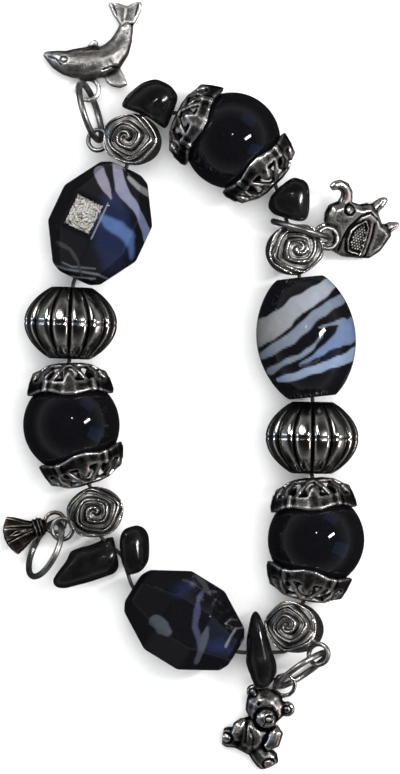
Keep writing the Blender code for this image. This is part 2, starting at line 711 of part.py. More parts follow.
def bear_mesh():
    """A sitting bear, with the loop on its head at the origin."""
    unit = BEAR_LENGTH / 11.0
    lean = -27
    # Rounded parts, the head first: x, y, z, then three radii
    lumps = (
        (-2.8, -3.2, 0.1, 3.0, 2.9, 2.1), (-4.8, -7.4, 0.0, 2.8, 3.0, 2.1),
        (-2.6, -4.7, 1.7, 1.65, 1.35, 1.1), (-1.9, -4.5, 2.7, 0.5, 0.4, 0.4),
        (-4.5, -0.9, 0.0, 1.1, 1.1, 0.8), (0.4, -3.5, 0.0, 1.2, 1.2, 0.8),
    )
    # Arms and legs: x, y, z, half-width and half-height
    limbs = (
        ((-5.7, -5.0, 0.7, 0.6, 0.6), (-6.4, -5.9, 1.0, 1.1, 0.9), (-6.8, -7.0, 1.2, 1.1, 0.9),
         (-6.6, -8.0, 1.3, 0.6, 0.5)),
        ((-1.6, -5.9, 0.7, 0.7, 0.7), (-1.2, -6.9, 1.0, 1.15, 1.0), (-1.6, -8.2, 1.2, 1.15, 1.0),
         (-2.7, -9.0, 1.4, 0.6, 0.6)),
        ((-5.5, -8.2, 0.0, 1.55, 1.4), (-7.1, -7.9, 0.0, 1.5, 1.4), (-8.2, -7.7, 0.0, 1.6, 1.45),
         (-9.0, -7.6, 0.0, 1.3, 1.1)),
        ((-4.1, -9.0, 0.0, 1.6, 1.4), (-3.4, -10.2, 0.0, 1.7, 1.5), (-2.5, -11.1, 0.0, 1.8, 1.6),
         (-2.1, -12.0, 0.0, 1.4, 1.2)),
    )
    solids = []
    for row in lumps:
        centre, radii = scaled([row[:3], row[3:]], unit)
        solids.append(blob("lump", centre, radii, 10, 6, lean))
    solids += [limb("limb", scaled(path, unit)) for path in limbs]
    solids.append(hoop("loop", 1.55 * unit, 0.36 * unit, LOOP_COLUMNS, WIRE_SIDES))
    return joined("bear", solids[0], solids[1:], "UNION")


def posy_mesh():
    """A tied posy: a ridged fan, a bound neck, and its loop at the origin."""
    unit = POSY_LENGTH / 7.6
    lean = Matrix.Rotation(math.radians(17), 4, "Z")
    # Fan from its tip to the neck: distance from the loop, half-width, half-height
    rows = ((7.8, 2.5, 0.7), (7.4, 3.0, 1.2), (5.8, 2.4, 1.5), (4.2, 1.6, 1.4), (3.0, 1.1, 1.2))
    fan = []
    for out, width, height in rows:
        ring = []
        for step in range(16):
            turn = 2 * math.pi * step / 16
            ridge = 1.0 if step % 2 else 0.8
            bow = out - 0.9 * math.cos(turn) ** 2 * (out - 3.0) / 4.3
            ring.append(lean @ Vector((-bow, width * math.cos(turn), height * ridge * math.sin(turn))) * unit)
        fan.append(ring)
    # Neck from the fan to the loop: distance from the loop and radius, with three bindings
    bindings = ((3.3, 1.1), (3.0, 1.5), (2.65, 1.25), (2.35, 1.6), (2.1, 1.2), (1.9, 1.4), (1.5, 0.75))
    neck = []
    for out, radius in bindings:
        ring = []
        for step in range(10):
            turn = 2 * math.pi * (step + 0.5) / 10
            ring.append(lean @ Vector((-out, radius * math.cos(turn), 0.9 * radius * math.sin(turn))) * unit)
        neck.append(ring)
    loop = hoop("loop", 1.5 * unit, 0.34 * unit, LOOP_COLUMNS, WIRE_SIDES)
    return joined("posy", sections("posy", fan), [sections("neck", neck), loop], "UNION")


def settled(mesh, hinge, away, roll, turn, rest):
    """Matrix that hangs a charm by its loop at the hinge and lets its far end down to a height."""
    axis = Vector((0, 0, 1)).cross(away)
    rolled = Matrix.Rotation(math.radians(roll), 4, away) @ Matrix.Rotation(math.radians(turn), 4, "Z")
    points = [rolled @ vertex.co for vertex in mesh.vertices]

    def lowest(tilt):
        """Lowest point of the charm at a tilt."""
        spin = Matrix.Rotation(tilt, 3, axis)
        return hinge.z + min((spin @ point).z for point in points)

    low, high = math.radians(-30), math.radians(60)
    for _ in range(40):
        middle = (low + high) / 2
        if lowest(middle) > rest:
            low = middle
        else:
            high = middle
    return Matrix.Translation(hinge) @ Matrix.Rotation(low, 4, axis) @ rolled


def link_length(name, kind):
    """Length of elastic that a bead takes up."""
    lengths = {"rose": ROSE_LENGTH, "cap_in": CAP_REACH, "cap_out": CAP_REACH, "oval": OVAL_LENGTH,
               "faceted": FACETED_LENGTH, "melon": MELON_LENGTH}
    return CHIP_THREAD[name] if kind == "chip" else lengths[kind]


def walk(headings):
    """Starts and ends of every bead laid end to end from the origin, and where the last one stops."""
    end_radii = {"rose": BORE_RADIUS, "cap_in": CAP_BASE_RADIUS, "cap_out": CAP_BASE_RADIUS,
                 "oval": OVAL_END_RADIUS, "faceted": FACETED_END_RADIUS, "melon": MELON_END_RADIUS}
    here = np.zeros(2)
    spans = []
    for index, (name, kind, _) in enumerate(STRING):
        way = np.array((math.cos(headings[index]), math.sin(headings[index])))
        start = here
        here = here + way * link_length(name, kind)
        spans.append((start, here))
        after = (index + 1) % len(STRING)
        next_kind = STRING[after][1]
        if kind == "cap_in":
            continue
        gap = RINGED_GAP if name == RINGED else SEAT
        turn = (headings[after] - headings[index] + math.pi) % (2 * math.pi) - math.pi
        if "chip" not in (kind, next_kind):
            gap += math.sin(abs(turn) / 2) * (end_radii[kind] + end_radii[next_kind])
        between = headings[index] + turn / 2
        here = here + gap * np.array((math.cos(between), math.sin(between)))
    return spans, here


def lay_string():
    """Headings turned as little as closes the loop, and the span of every bead."""
    headings = np.radians([heading for _, _, heading in STRING])
    for _ in range(12):
        spans, stop = walk(headings)
        pull = np.array([(start[1] - end[1], end[0] - start[0]) for start, end in spans]).T
        headings = headings - pull.T @ np.linalg.solve(pull @ pull.T, stop)
    spans, _ = walk(headings)
    return headings, spans


def lay_levels(spans):
    """Height of every bead's hole: wide beads rest on the floor, and the rest follow their neighbours."""
    half_facet = math.cos(math.pi / FACET_SIDES)
    heights = {}
    for index, (name, kind, _) in enumerate(STRING):
        if kind in ("cap_in", "cap_out"):
            heights[index] = GLASS_RADIUS
        elif kind == "oval":
            heights[index] = OVAL_RADIUS
        elif kind == "melon":
            heights[index] = MELON_RADIUS
        elif kind == "faceted":
            heights[index] = FACETED_RADIUS * (half_facet if FACETED_ROLLS[name] else 1.0)
    known = sorted(heights)
    count = len(STRING)
    stations = [known[-1] - count, *known, known[0] + count]
    values = [heights[known[-1]], *(heights[index] for index in known), heights[known[0]]]
    return [float(np.interp(index, stations, values)) for index in range(count)]


def round_corners(points, rounding):
    """A closed route with each corner cut off."""
    route = []
    count = len(points)
    for index, corner in enumerate(points):
        before = points[index - 1] - corner
        after = points[(index + 1) % count] - corner
        cut = min(rounding, 0.4 * before.length, 0.4 * after.length)
        start = corner + before.normalized() * cut
        end = corner + after.normalized() * cut
        route += [start, end]
    return route


def closed_tube(name, route, radius, sides):
    """A tube along a closed, nearly level route."""
    count = len(route)
    points = []
    for index, centre in enumerate(route):
        along = (route[(index + 1) % count] - route[index - 1]).normalized()
        across = Vector((0, 0, 1)).cross(along).normalized()
        up = along.cross(across)
        for side in range(sides):
            turn = 2 * math.pi * side / sides
            points.append(centre + across * radius * math.cos(turn) + up * radius * math.sin(turn))
    faces = grid_faces(count, sides)
    first = (count - 1) * sides
    for side in range(sides):
        after = (side + 1) % sides
        faces.append((first + side, first + after, after, side))
    return mesh_from(name, points, faces)


def place(name, mesh, finish, matrix):
    """Adds a piece to the scene."""
    piece = bpy.data.objects.new(name, mesh)
    if not mesh.materials:
        mesh.materials.append(finish)
    piece.matrix_world = matrix
    bpy.context.collection.objects.link(piece)
    return piece


def bead_frame(centre, heading, roll=0.0):
    """Frame of a bead: its hole along X, its top along Z."""
    return (Matrix.Translation(centre) @ Matrix.Rotation(heading, 4, "Z")
            @ Matrix.Rotation(math.radians(roll), 4, "X"))


def neighbour_reach(kind, heading, away):
    """How far a neighbour reaches from its middle towards a chip."""
    turn = abs((heading - away + math.pi) % (2 * math.pi) - math.pi)
    turn = min(turn, math.pi - turn)
    profiles = {"oval": oval_profile, "faceted": faceted_profile, "melon": melon_profile}
    if kind in profiles:
        return reach_of(profiles[kind](), turn)
    base = [(CAP_REACH, CAP_BASE_RADIUS), (CAP_REACH - CAP_DEPTH, CAP_RIM_RADIUS)]
    return reach_of(base, turn)


def plane_clamp(normal, reach):
    """Limit on a chip set by a flat face."""
    def limit(way):
        """Distance to the face in one direction."""
        slope = normal.dot(way)
        return reach / slope if slope > 1e-6 else math.inf
    return limit


def oval_clamp(offset, heading, half_length, half_width):
    """Limit on a chip set by a neighbour that is oval from above."""
    along = Vector((math.cos(heading), math.sin(heading))) / half_length
    across = Vector((-math.sin(heading), math.cos(heading))) / half_width
    middle = Vector((offset.dot(along), offset.dot(across)))

    def limit(way):
        """Distance to the neighbour in one direction."""
        step = Vector((way.xy.dot(along), way.xy.dot(across)))
        if step.length < 1e-6:
            return math.inf
        ahead = middle.dot(step) / step.length
        aside = middle.length_squared - ahead ** 2
        if ahead <= 0 or aside >= 1:
            return math.inf
        return (ahead - math.sqrt(1 - aside)) / step.length
    return limit


def chip_clamps(index, centres, headings):
    """What keeps a chip clear of its two neighbours."""
    name = STRING[index][0]
    middle = centres[index] + Vector((*CHIP_MIDDLES[name], 0))
    clamps = []
    for step in (-1, 1):
        other = (index + step) % len(STRING)
        neighbour, kind, _ = STRING[other]
        if kind == "rose":
            offset = (centres[other] - middle).xy
            roll = math.radians(ROSE_POSES[neighbour][1])
            width = (ROSE_WIDTH * math.cos(roll) + ROSE_BAND * ROSE_HEIGHT * abs(math.sin(roll))) / 2
            clamps.append(oval_clamp(offset, headings[other], ROSE_LENGTH / 2 + SEAT, width + SEAT))
        if (name, neighbour) not in CHIP_SEATS:
            continue
        azimuth = CHIP_SEATS[(name, neighbour)]
        normal = direction(azimuth)
        if kind == "chip":
            reach = normal.dot((centres[index] + centres[other]) / 2 - middle) - SEAT / 2
        elif kind == "rose":
            along = Vector((math.cos(headings[index]), math.sin(headings[index]), 0))
            face = centres[index] + along * step * CHIP_THREAD[name] / 2
            reach = normal.dot(face - middle)
        else:
            beyond = centres[other]
            if kind in ("cap_in", "cap_out"):
                sign = 1 if kind == "cap_in" else -1
                along = Vector((math.cos(headings[other]), math.sin(headings[other]), 0))
                beyond = beyond + along * sign * CAP_REACH / 2
            towards = math.radians(azimuth)
            reach = normal.dot(beyond - middle) - neighbour_reach(kind, headings[other], towards) - SEAT
        clamps.append(plane_clamp(normal, reach))
    return clamps


def build():
    """Lays the string, then hangs the rings and the charms on it."""
    clear_scene()
    glass = material("black_glass", (0.01, 0.01, 0.012), 0.08, 0.0)
    stone = material("black_stone", (0.012, 0.012, 0.013), 0.15, 0.0)
    silver = material("antique_silver", (0.42, 0.41, 0.39), 0.3, 1.0)
    thread = material("elastic", (0.02, 0.02, 0.02), 0.5, 0.0)

    headings, spans = lay_string()
    levels = lay_levels(spans)
    centres = []
    for (start, end), level in zip(spans, levels):
        middle = (start + end) / 2
        centres.append(Vector((middle[0], middle[1], level)))
    order = {name: index for index, (name, _, _) in enumerate(STRING)}

    round_bead = turned("round", round_profile(), GLASS_SIDES)
    oval_bead = turned("oval", oval_profile(), OVAL_SIDES)
    faceted_bead = turned("faceted", faceted_profile(), FACET_SIDES)
    melon_bead = turned("melon", melon_profile(), 3 * MELON_RIBS, melon_radius)
    cap = cap_mesh()

    route = []
    for index, (name, kind, _) in enumerate(STRING):
        heading = headings[index]
        start, end = spans[index]
        here = Vector((start[0], start[1], levels[index]))
        there = Vector((end[0], end[1], levels[index]))
        ahead = Vector((math.cos(heading), math.sin(heading), 0))
        if kind == "rose":
            turn, roll = ROSE_POSES[name]
            place(name, rose_mesh(name, turn), silver, bead_frame(centres[index], heading, roll))
        elif kind == "chip":
            clamps = chip_clamps(index, centres, headings)
            place(name, chip_mesh(name, clamps, heading), stone, Matrix.Translation(centres[index]))
        elif kind == "oval":
            place(name, oval_bead, glass, bead_frame(centres[index], heading))
        elif kind == "faceted":
            place(name, faceted_bead, glass, bead_frame(centres[index], heading, FACETED_ROLLS[name]))
        elif kind == "melon":
            place(name, melon_bead, silver, bead_frame(centres[index], heading))
        elif kind == "cap_in":
            place(name, cap, silver, bead_frame(here, heading))
            through = (heading + headings[index + 1]) / 2
            bead = name.replace("cap_", "bead_")[:-1]
            place(bead, round_bead, glass, bead_frame(there, through))
            pole = Vector((math.cos(through), math.sin(through), 0)) * GLASS_RADIUS
            route += [here, there - pole, there + pole]
            continue
        else:
            place(name, cap, silver, bead_frame(there, heading + math.pi))
            route.append(there)
            continue
        before = levels[index - 1]
        after = levels[(index + 1) % len(levels)]
        route += [Vector((*(here + ahead * ELASTIC_RADIUS).xy, (2 * levels[index] + before) / 3)),
                  Vector((*(there - ahead * ELASTIC_RADIUS).xy, (2 * levels[index] + after) / 3))]
    elastic = closed_tube("elastic", round_corners(route, ELASTIC_ROUNDING), ELASTIC_RADIUS, ELASTIC_SIDES)
    place("elastic", elastic, thread, Matrix())

    charms = {"dolphin": dolphin_mesh(), "elephant": elephant_mesh(), "bear": bear_mesh(),
              "posy": posy_mesh()}
    ring_mesh = hoop("ring", RING_RADIUS, RING_WIRE, RING_COLUMNS, WIRE_SIDES)
    for name, rose, charm, azimuth, lean, at_rose, at_charm, pull in RINGS:
        index = order[rose]
        turn, roll = ROSE_POSES[rose]
        loop = bead_frame(centres[index], headings[index], roll) @ rose_loop(turn)
        long_axis = direction(azimuth)
        side = direction(azimuth + 90)
        upright = side * math.sin(math.radians(lean)) + Vector((0, 0, 1)) * math.cos(math.radians(lean))

        def on_ring(degrees):
            """Offset of a point of the wire from the ring's middle."""
            turn_on = math.radians(degrees)
            return (long_axis * math.cos(turn_on) + upright * math.sin(turn_on)) * RING_RADIUS

        outward = math.degrees(headings[index]) + turn
        middle = loop + direction(outward) * pull * MM - on_ring(at_rose)
        frame = Matrix.Identity(3)
        frame.col[0] = long_axis
        frame.col[1] = upright
        frame.col[2] = long_axis.cross(upright)
        place(name, ring_mesh, silver, Matrix.Translation(middle) @ frame.to_4x4())
        towards, roll, turn, rest = CHARM_POSES[charm]
        away = direction(towards)
        hinge = middle + on_ring(at_charm) + away * pull * MM
        place(charm, charms[charm], silver, settled(charms[charm], hinge, away, roll, turn, rest * MM))
    centre_on_floor()


def centre_on_floor():
    """Moves the whole bracelet so that its box stands on the floor with its middle over the origin."""
    bpy.context.view_layer.update()
    corners = []
    for piece in bpy.context.scene.objects:
        corners += [piece.matrix_world @ vertex.co for vertex in piece.data.vertices]
    low = Vector([min(corner[axis] for corner in corners) for axis in range(3)])
    high = Vector([max(corner[axis] for corner in corners) for axis in range(3)])
    shift = Vector((-(low.x + high.x) / 2, -(low.y + high.y) / 2, -low.z))
    for piece in bpy.context.scene.objects:
        piece.matrix_world = Matrix.Translation(shift) @ piece.matrix_world


build()
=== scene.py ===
"""Looks of the charm bracelet: rich surfaces in place of its plain solids, a floor, lights and a camera."""

import math

import bmesh
import bpy
import numpy as np
from mathutils import Euler, Matrix, Vector


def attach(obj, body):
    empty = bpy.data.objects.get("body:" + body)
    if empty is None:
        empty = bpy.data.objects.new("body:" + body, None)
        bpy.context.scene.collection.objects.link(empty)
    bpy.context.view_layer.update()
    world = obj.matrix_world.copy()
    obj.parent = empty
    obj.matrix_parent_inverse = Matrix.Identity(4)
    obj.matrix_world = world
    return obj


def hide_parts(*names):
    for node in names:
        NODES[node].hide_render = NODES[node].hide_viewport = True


MM = 0.001
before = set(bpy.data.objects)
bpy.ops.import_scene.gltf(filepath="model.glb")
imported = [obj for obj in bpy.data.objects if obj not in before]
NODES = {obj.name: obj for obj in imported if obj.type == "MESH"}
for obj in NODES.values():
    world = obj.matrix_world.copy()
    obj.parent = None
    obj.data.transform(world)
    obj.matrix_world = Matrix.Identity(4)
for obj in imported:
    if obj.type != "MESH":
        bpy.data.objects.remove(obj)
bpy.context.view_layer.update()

# Camera: straight above the middle of the photo, with its picture plane at the beads' middle height
VIEW_CENTRE = (-0.198 * MM, -0.222 * MM)
VIEW_LEVEL = 7.0 * MM
VIEW_HEIGHT = 112.23 * MM
CAMERA_DISTANCE = 0.8
SENSOR = 36.0
CLIP_RANGE = (0.01, 20)

# Beads that are turned shapes: middle of the bead in millimetres, heading of its hole and its roll in degrees
FRAMES = {
    "rose_1": (-9.874, 35.6, 7.067, 76.89, -18.0),
    "bead_1": (4.467, 35.499, 7.0, -36.14, 0.0),
    "rose_2": (13.352, 19.667, 7.133, -76.98, -13.0),
    "swirl_2": (15.183, 6.957, 7.2, -83.89, 0.0),
    "melon_2": (16.058, -7.571, 6.75, -90.9, 0.0),
    "bead_2": (16.633, -22.344, 7.0, -93.9, 0.0),
    "rose_3": (13.61, -35.098, 6.853, -106.88, 22.0),
    "swirl_3": (-2.453, -34.039, 6.56, 148.31, 22.5),
    "rose_4": (-15.395, -18.379, 6.89, 100.97, 0.0),
    "bead_3": (-18.845, -5.701, 7.0, 99.46, 0.0),
    "melon_1": (-18.957, 9.037, 6.75, 87.89, 0.0),
    "swirl_1": (-14.675, 23.515, 7.1, 64.66, 0.0),
}
# Rose beads: turn of the loop from the hole's heading, in degrees
ROSE_LOOPS = {"rose_1": 102.0, "rose_2": 96.0, "rose_3": 60.0, "rose_4": 106.0}

# Sizes of the beads and rings. Their lengths and radii are as in the solids. The lips, the melons' seam and
# the roses' scallops are made here alone, and the roses' petals are deeper here, on another spiral
BORE_RADIUS = 1.0 * MM
LIP = 0.25 * MM
LIP_ROWS = 4
# Share of the lip within which a bead's own rows are left out
LIP_MARGIN = 1.2
# Rows over a bead's flat end: how far they stay from its hole and from its rim, and their number
END_MARGINS = (0.45 * MM, 0.1 * MM)
END_ROWS = 5
GLASS_RADIUS = 7.0 * MM
OVAL = (17.4 * MM, 7.2 * MM, 3.3 * MM, 0.8)
FACETED = (17.6 * MM, 7.1 * MM, 2.4 * MM)
FACETED_STATIONS = ((1.0, 0.0), (0.92, 0.3), (0.32, 1.0))
FACET_SIDES = 8
FACET_SHARPNESS = 90
# Weights of the mean that rounds a faceted bead's corners
CORNER_ROUNDING = (1, 2, 3, 2, 1)
MELON = (10.4 * MM, 6.75 * MM, 2.9 * MM, 0.9)
MELON_RIBS = 14
MELON_GROOVE = 0.8 * MM
MELON_SHARPNESS = 5
MELON_BOW = 0.10
# Depth and half-width of a melon bead's seam
MELON_SEAM = (0.09 * MM, 0.12 * MM)
ROSE_LENGTH = 7.2 * MM
ROSE_WIDTH = 8.1 * MM
ROSE_HEIGHT = 7.2 * MM
ROSE_DROP = 0.42
ROSE_DOME = 2.4
ROSE_RELIEF = 0.81 * MM
ROSE_SCALLOP = 0.035
# Number of a rose's scallops, and their turn
ROSE_SCALLOPS = (5, 0.6)
# Share of the radius at which a rose's top ends, and run over which its relief fades out
ROSE_EDGE = 0.97
ROSE_FADE = 0.05
ROSE_TOP = 0.52
# Rows down a rose's side and underside: place along it, share of the radius, and share of half the height
ROSE_SIDE = ((0.0, 1.0, ROSE_TOP), (0.2, 1.02, 0.2), (0.4, 1.0, -0.2), (0.6, 0.9, -0.62),
             (0.8, 0.62, -0.86), (1.0, 0.02, -0.99))
ROSE_SIDE_START = 0.02
# Spiral of a rose's petals: its turns, how it widens, and where it starts
PETAL_SPIRAL = (2.5, 1.15, 0.35)
# Corners of the spiral: reach, number, turn, twist, and the share of the radius that they start from
PETAL_CORNERS = (0.34, 2.0, 0.9, 2.2, 0.3)
# A petal's rise (height and power), run of its drop, lip and vein (place, width and height), and its depth
PETAL_RISE = (0.8, 1.4)
PETAL_DROP = 0.18
PETAL_LIP = (0.74, 0.12, 0.4)
PETAL_VEIN = (0.42, 0.06, 0.10)
PETAL_DEPTH = 0.6
LOOP_RADIUS = 1.5 * MM
LOOP_WIRE = 0.34 * MM
RING_RADIUS = 4.3 * MM
RING_WIRE = 0.45 * MM

# Rows and columns of the turned meshes
GLASS_GRID = (73, 128)
OVAL_GRID = (116, 320)
FACETED_GRID = (124, 256)
MELON_ROWS = 64
RIB_COLUMNS = 18
ROSE_GRID = (80, 150)
ROSE_SIDE_ROWS = 22
LOOP_GRID = (48, 14)
RING_GRID = (128, 20)

# Wear: rounds of the smoothing that it is read against and the height that it spans, or its even value
MELON_WEAR = (12, 0.30 * MM)
ROSE_WEAR = (14, 0.30 * MM)
CAST_WEAR_SPAN = 0.22 * MM
LOOP_WEAR = 0.55
RING_WEAR = 0.56

# Colours of the glass swirls as seen, and of one painted highlight, 0 to 255
TINTS_AND_HIGHLIGHT = {
    "lavender": (122, 118, 132),
    "blue": (66, 86, 126),
    "navy": (20, 28, 52),
    "navy2": (16, 22, 50),
    "grey": (118, 118, 118),
    "pale": (142, 148, 158),
    "slate": (104, 112, 124),
    "blue2": (92, 108, 136),
    "sky": (120, 134, 156),
    "lilac": (52, 54, 74),
    "fog": (58, 61, 68),
    "fog2": (104, 102, 110),
    "steel": (94, 106, 136),
    "line": (96, 102, 108),
    # Painted highlight: pale colour standing for the light caught along a faceted bead's top ridge
    "edge": (120, 122, 126),
    "dim": (48, 48, 52),
    "black": (3, 3, 4),
}

# Swirls of each bead, and a painted highlight along swirl_1's top ridge, painted in this order: colour, or
# its first and last colour, then points of the band's middle line in the bead's own frame seen from above
# (along the hole, across it, width), in millimetres
SWIRLS_AND_HIGHLIGHT = {
    "swirl_1": (
        ("navy", ((3.3, -0.5, 3.19), (0.9, -1.5, 4.93), (-1.8, -2.8, 5.22), (-4.3, -4.1, 3.19))),
        ("lavender", ((6.7, 3.2, 1.59), (5.6, 2.2, 1.59), (4.6, 0.9, 1.01), (3.8, 0.0, 0.29))),
        ("lavender steel", ((8.9, 1.5, 1.3), (7.1, 0.3, 1.45), (5.8, -0.6, 1.7), (4.9, -2.1, 1.5),
                            (4.2, -3.7, 1.1), (3.1, -5.1, 0.95), (2.0, -6.4, 1.25), (0.8, -7.1, 0.87))),
        ("blue", ((0.7, -0.1, 0.87), (0.4, -1.4, 1.88), (0.4, -3.0, 2.03), (-0.1, -4.7, 1.74),
                  (-1.3, -5.7, 0.87), (-2.6, -6.2, 0.43))),
        ("grey", ((7.7, -1.0, 0.43), (7.1, -2.7, 0.87), (6.7, -5.0, 0.87))),
        ("line", ((-8.3, 3.3, 0.17), (-8.2, 1.6, 0.23), (-7.4, -1.1, 0.23), (-6.9, -2.9, 0.23),
                  (-6.8, -5.1, 0.17))),
        ("line", ((-7.5, 2.4, 0.14), (-7.5, 0.9, 0.17), (-6.3, -2.3, 0.14))),
        ("line", ((-9.2, 2.2, 0.17), (-8.6, -0.2, 0.2), (-7.6, -2.9, 0.14))),
        ("dim", ((-5.2, 4.3, 0.43), (-5.3, 2.2, 0.58), (-6.4, 0.4, 0.43), (-7.6, -0.5, 0.29))),
        # Painted highlight, not a swirl: a pale line along the top ridge, where light catches the facets'
        # edge
        ("edge", ((-2.7, 0.0, 0.14), (2.9, 0.0, 0.14))),
    ),
    "swirl_2": (
        ("grey pale", ((-1.3, -7.2, 3.9), (-1.9, -5.1, 3.5), (-3.0, -2.9, 3.0), (-4.6, -1.0, 2.75),
                       (-5.7, 1.5, 2.46), (-7.0, 3.7, 2.03), (-7.7, 5.2, 1.3))),
        ("slate", ((2.0, -6.6, 1.16), (1.0, -4.6, 1.45), (0.0, -2.3, 1.59), (-1.4, -0.4, 1.59),
                   (-3.1, 1.8, 1.45), (-4.3, 4.2, 1.45), (-5.6, 6.7, 1.3))),
        ("black", ((1.1, -6.5, 0.2), (-0.2, -4.4, 0.23), (-1.6, -2.0, 0.26), (-2.9, -1.0, 0.26),
                   (-4.0, 1.3, 0.26), (-5.0, 3.4, 0.26), (-6.4, 5.3, 0.2))),
        ("slate", ((-9.6, -2.3, 0.29), (-9.1, -0.3, 0.58), (-9.0, 1.7, 0.58), (-9.3, 3.3, 0.29))),
        ("slate", ((-1.2, 1.9, 0.22), (-1.5, 3.9, 0.43), (-1.8, 5.7, 0.72))),
        ("blue2", ((-0.9, 7.4, 3.19), (0.1, 5.8, 3.19), (1.0, 4.3, 1.88), (1.8, 2.7, 1.16),
                   (2.9, 0.8, 0.72), (3.9, -1.3, 0.43))),
        ("slate", ((4.3, -5.7, 1.01), (3.3, -3.6, 0.72), (2.6, -1.2, 0.72), (1.7, 0.5, 0.58),
                   (0.1, 2.0, 0.36))),
        ("sky", ((5.7, -4.7, 0.72), (5.5, -2.6, 1.16), (4.9, 0.0, 1.16), (4.3, 2.7, 1.3),
                 (3.8, 4.8, 1.45), (3.0, 7.0, 1.74))),
        ("dim", ((4.9, 6.8, 0.87), (6.2, 5.7, 1.16), (7.6, 4.7, 0.87))),
        ("dim", ((4.0, -1.3, 0.22), (3.7, 0.8, 0.43), (3.4, 1.4, 0.29))),
    ),
    "swirl_3": (
        ("navy2", ((1.9, -3.2, 1.3), (2.8, -1.6, 1.74), (3.0, -0.3, 0.87))),
        ("navy2", ((-5.1, 2.9, 1.16), (-6.3, 2.0, 1.74), (-7.8, 1.6, 0.87))),
        ("lilac", ((0.0, -3.5, 0.29), (0.0, -1.6, 0.58), (-0.7, 0.4, 0.87), (-1.7, 2.3, 0.87),
                   (-3.0, 3.4, 0.58), (-4.3, 4.8, 0.58))),
        ("fog", ((3.7, 4.1, 1.45), (2.4, 4.5, 1.88), (1.2, 4.8, 0.87))),
        ("fog", ((-3.3, 1.5, 0.43), (-3.7, 2.5, 1.16), (-4.0, 3.6, 1.01), (-4.5, 5.0, 0.72))),
        ("fog2", ((-7.9, -2.9, 0.23), (-6.9, -1.6, 0.29), (-6.8, 0.0, 0.29), (-7.0, 1.6, 0.17))),
        ("fog2", ((-8.7, -1.5, 0.14), (-8.8, -0.3, 0.2), (-9.0, 0.9, 0.14))),
        ("dim", ((3.5, -6.1, 0.58), (1.6, -5.2, 1.3), (0.0, -4.0, 0.87), (-1.3, -3.2, 0.29))),
        ("dim", ((3.3, -3.1, 0.22), (1.5, -3.4, 0.29), (-0.3, -3.3, 0.22), (-3.2, -3.0, 0.14))),
    ),
}
# Softness of a swirl's edge in millimetres, of some tints and of the others
SOFT_TINTS = {"navy": 0.9, "navy2": 0.9, "blue": 0.35}
SWIRL_EDGE = 0.11
# Tints of thin marks and of the painted ridge highlight, whose edges are even, and height and waves of the
# other edges' wander
EVEN_TINTS_AND_HIGHLIGHT = ("line", "edge")
WANDER = 0.1
WANDER_WAVES = ((1.3, 0.7), (-0.8, 1.9))

# Charms: place of the loop in millimetres, and turn in degrees
CHARM_FRAMES = {
    "dolphin": ((-16.526, 43.151, 2.249), (-7.58, -0.928, 0.061)),
    "elephant": ((17.933, 21.984, 3.911), (8.75, 20.781, -16.447)),
    "bear": ((12.071, -43.673, 3.398), (7.489, -4.304, -0.282)),
    "posy": ((-21.312, -19.93, 3.964), (-11.784, -2.707, 0.432)),
}

# Rounded metal laid along the charms, in each charm's own frame and in millimetres: x, y, z and radius at
# points of each run
RUNS = {
    "dolphin": (
        ((-6.0, 5.1, 0.25, 0.55), (-5.2, 4.75, 0.3, 0.95), (-4.3, 4.3, 0.4, 1.45), (-2.9, 3.8, 0.4, 1.85),
         (-0.6, 3.7, 0.4, 2.05), (1.5, 4.1, 0.35, 1.95), (3.2, 5.2, 0.2, 1.65), (4.3, 6.6, 0.05, 1.3),
         (5.1, 8.3, 0.0, 1.05), (5.6, 9.8, 0.0, 0.85)),
    ),
    "elephant": (
        ((7.0, 7.4, 0.1, 0.5), (6.5, 6.6, 0.1, 0.75)),
        ((9.95, 4.35, 0.1, 0.5), (9.2, 3.9, 0.1, 0.75)),
    ),
}
RUN_STEP = 0.25
BALL_DETAIL = 3

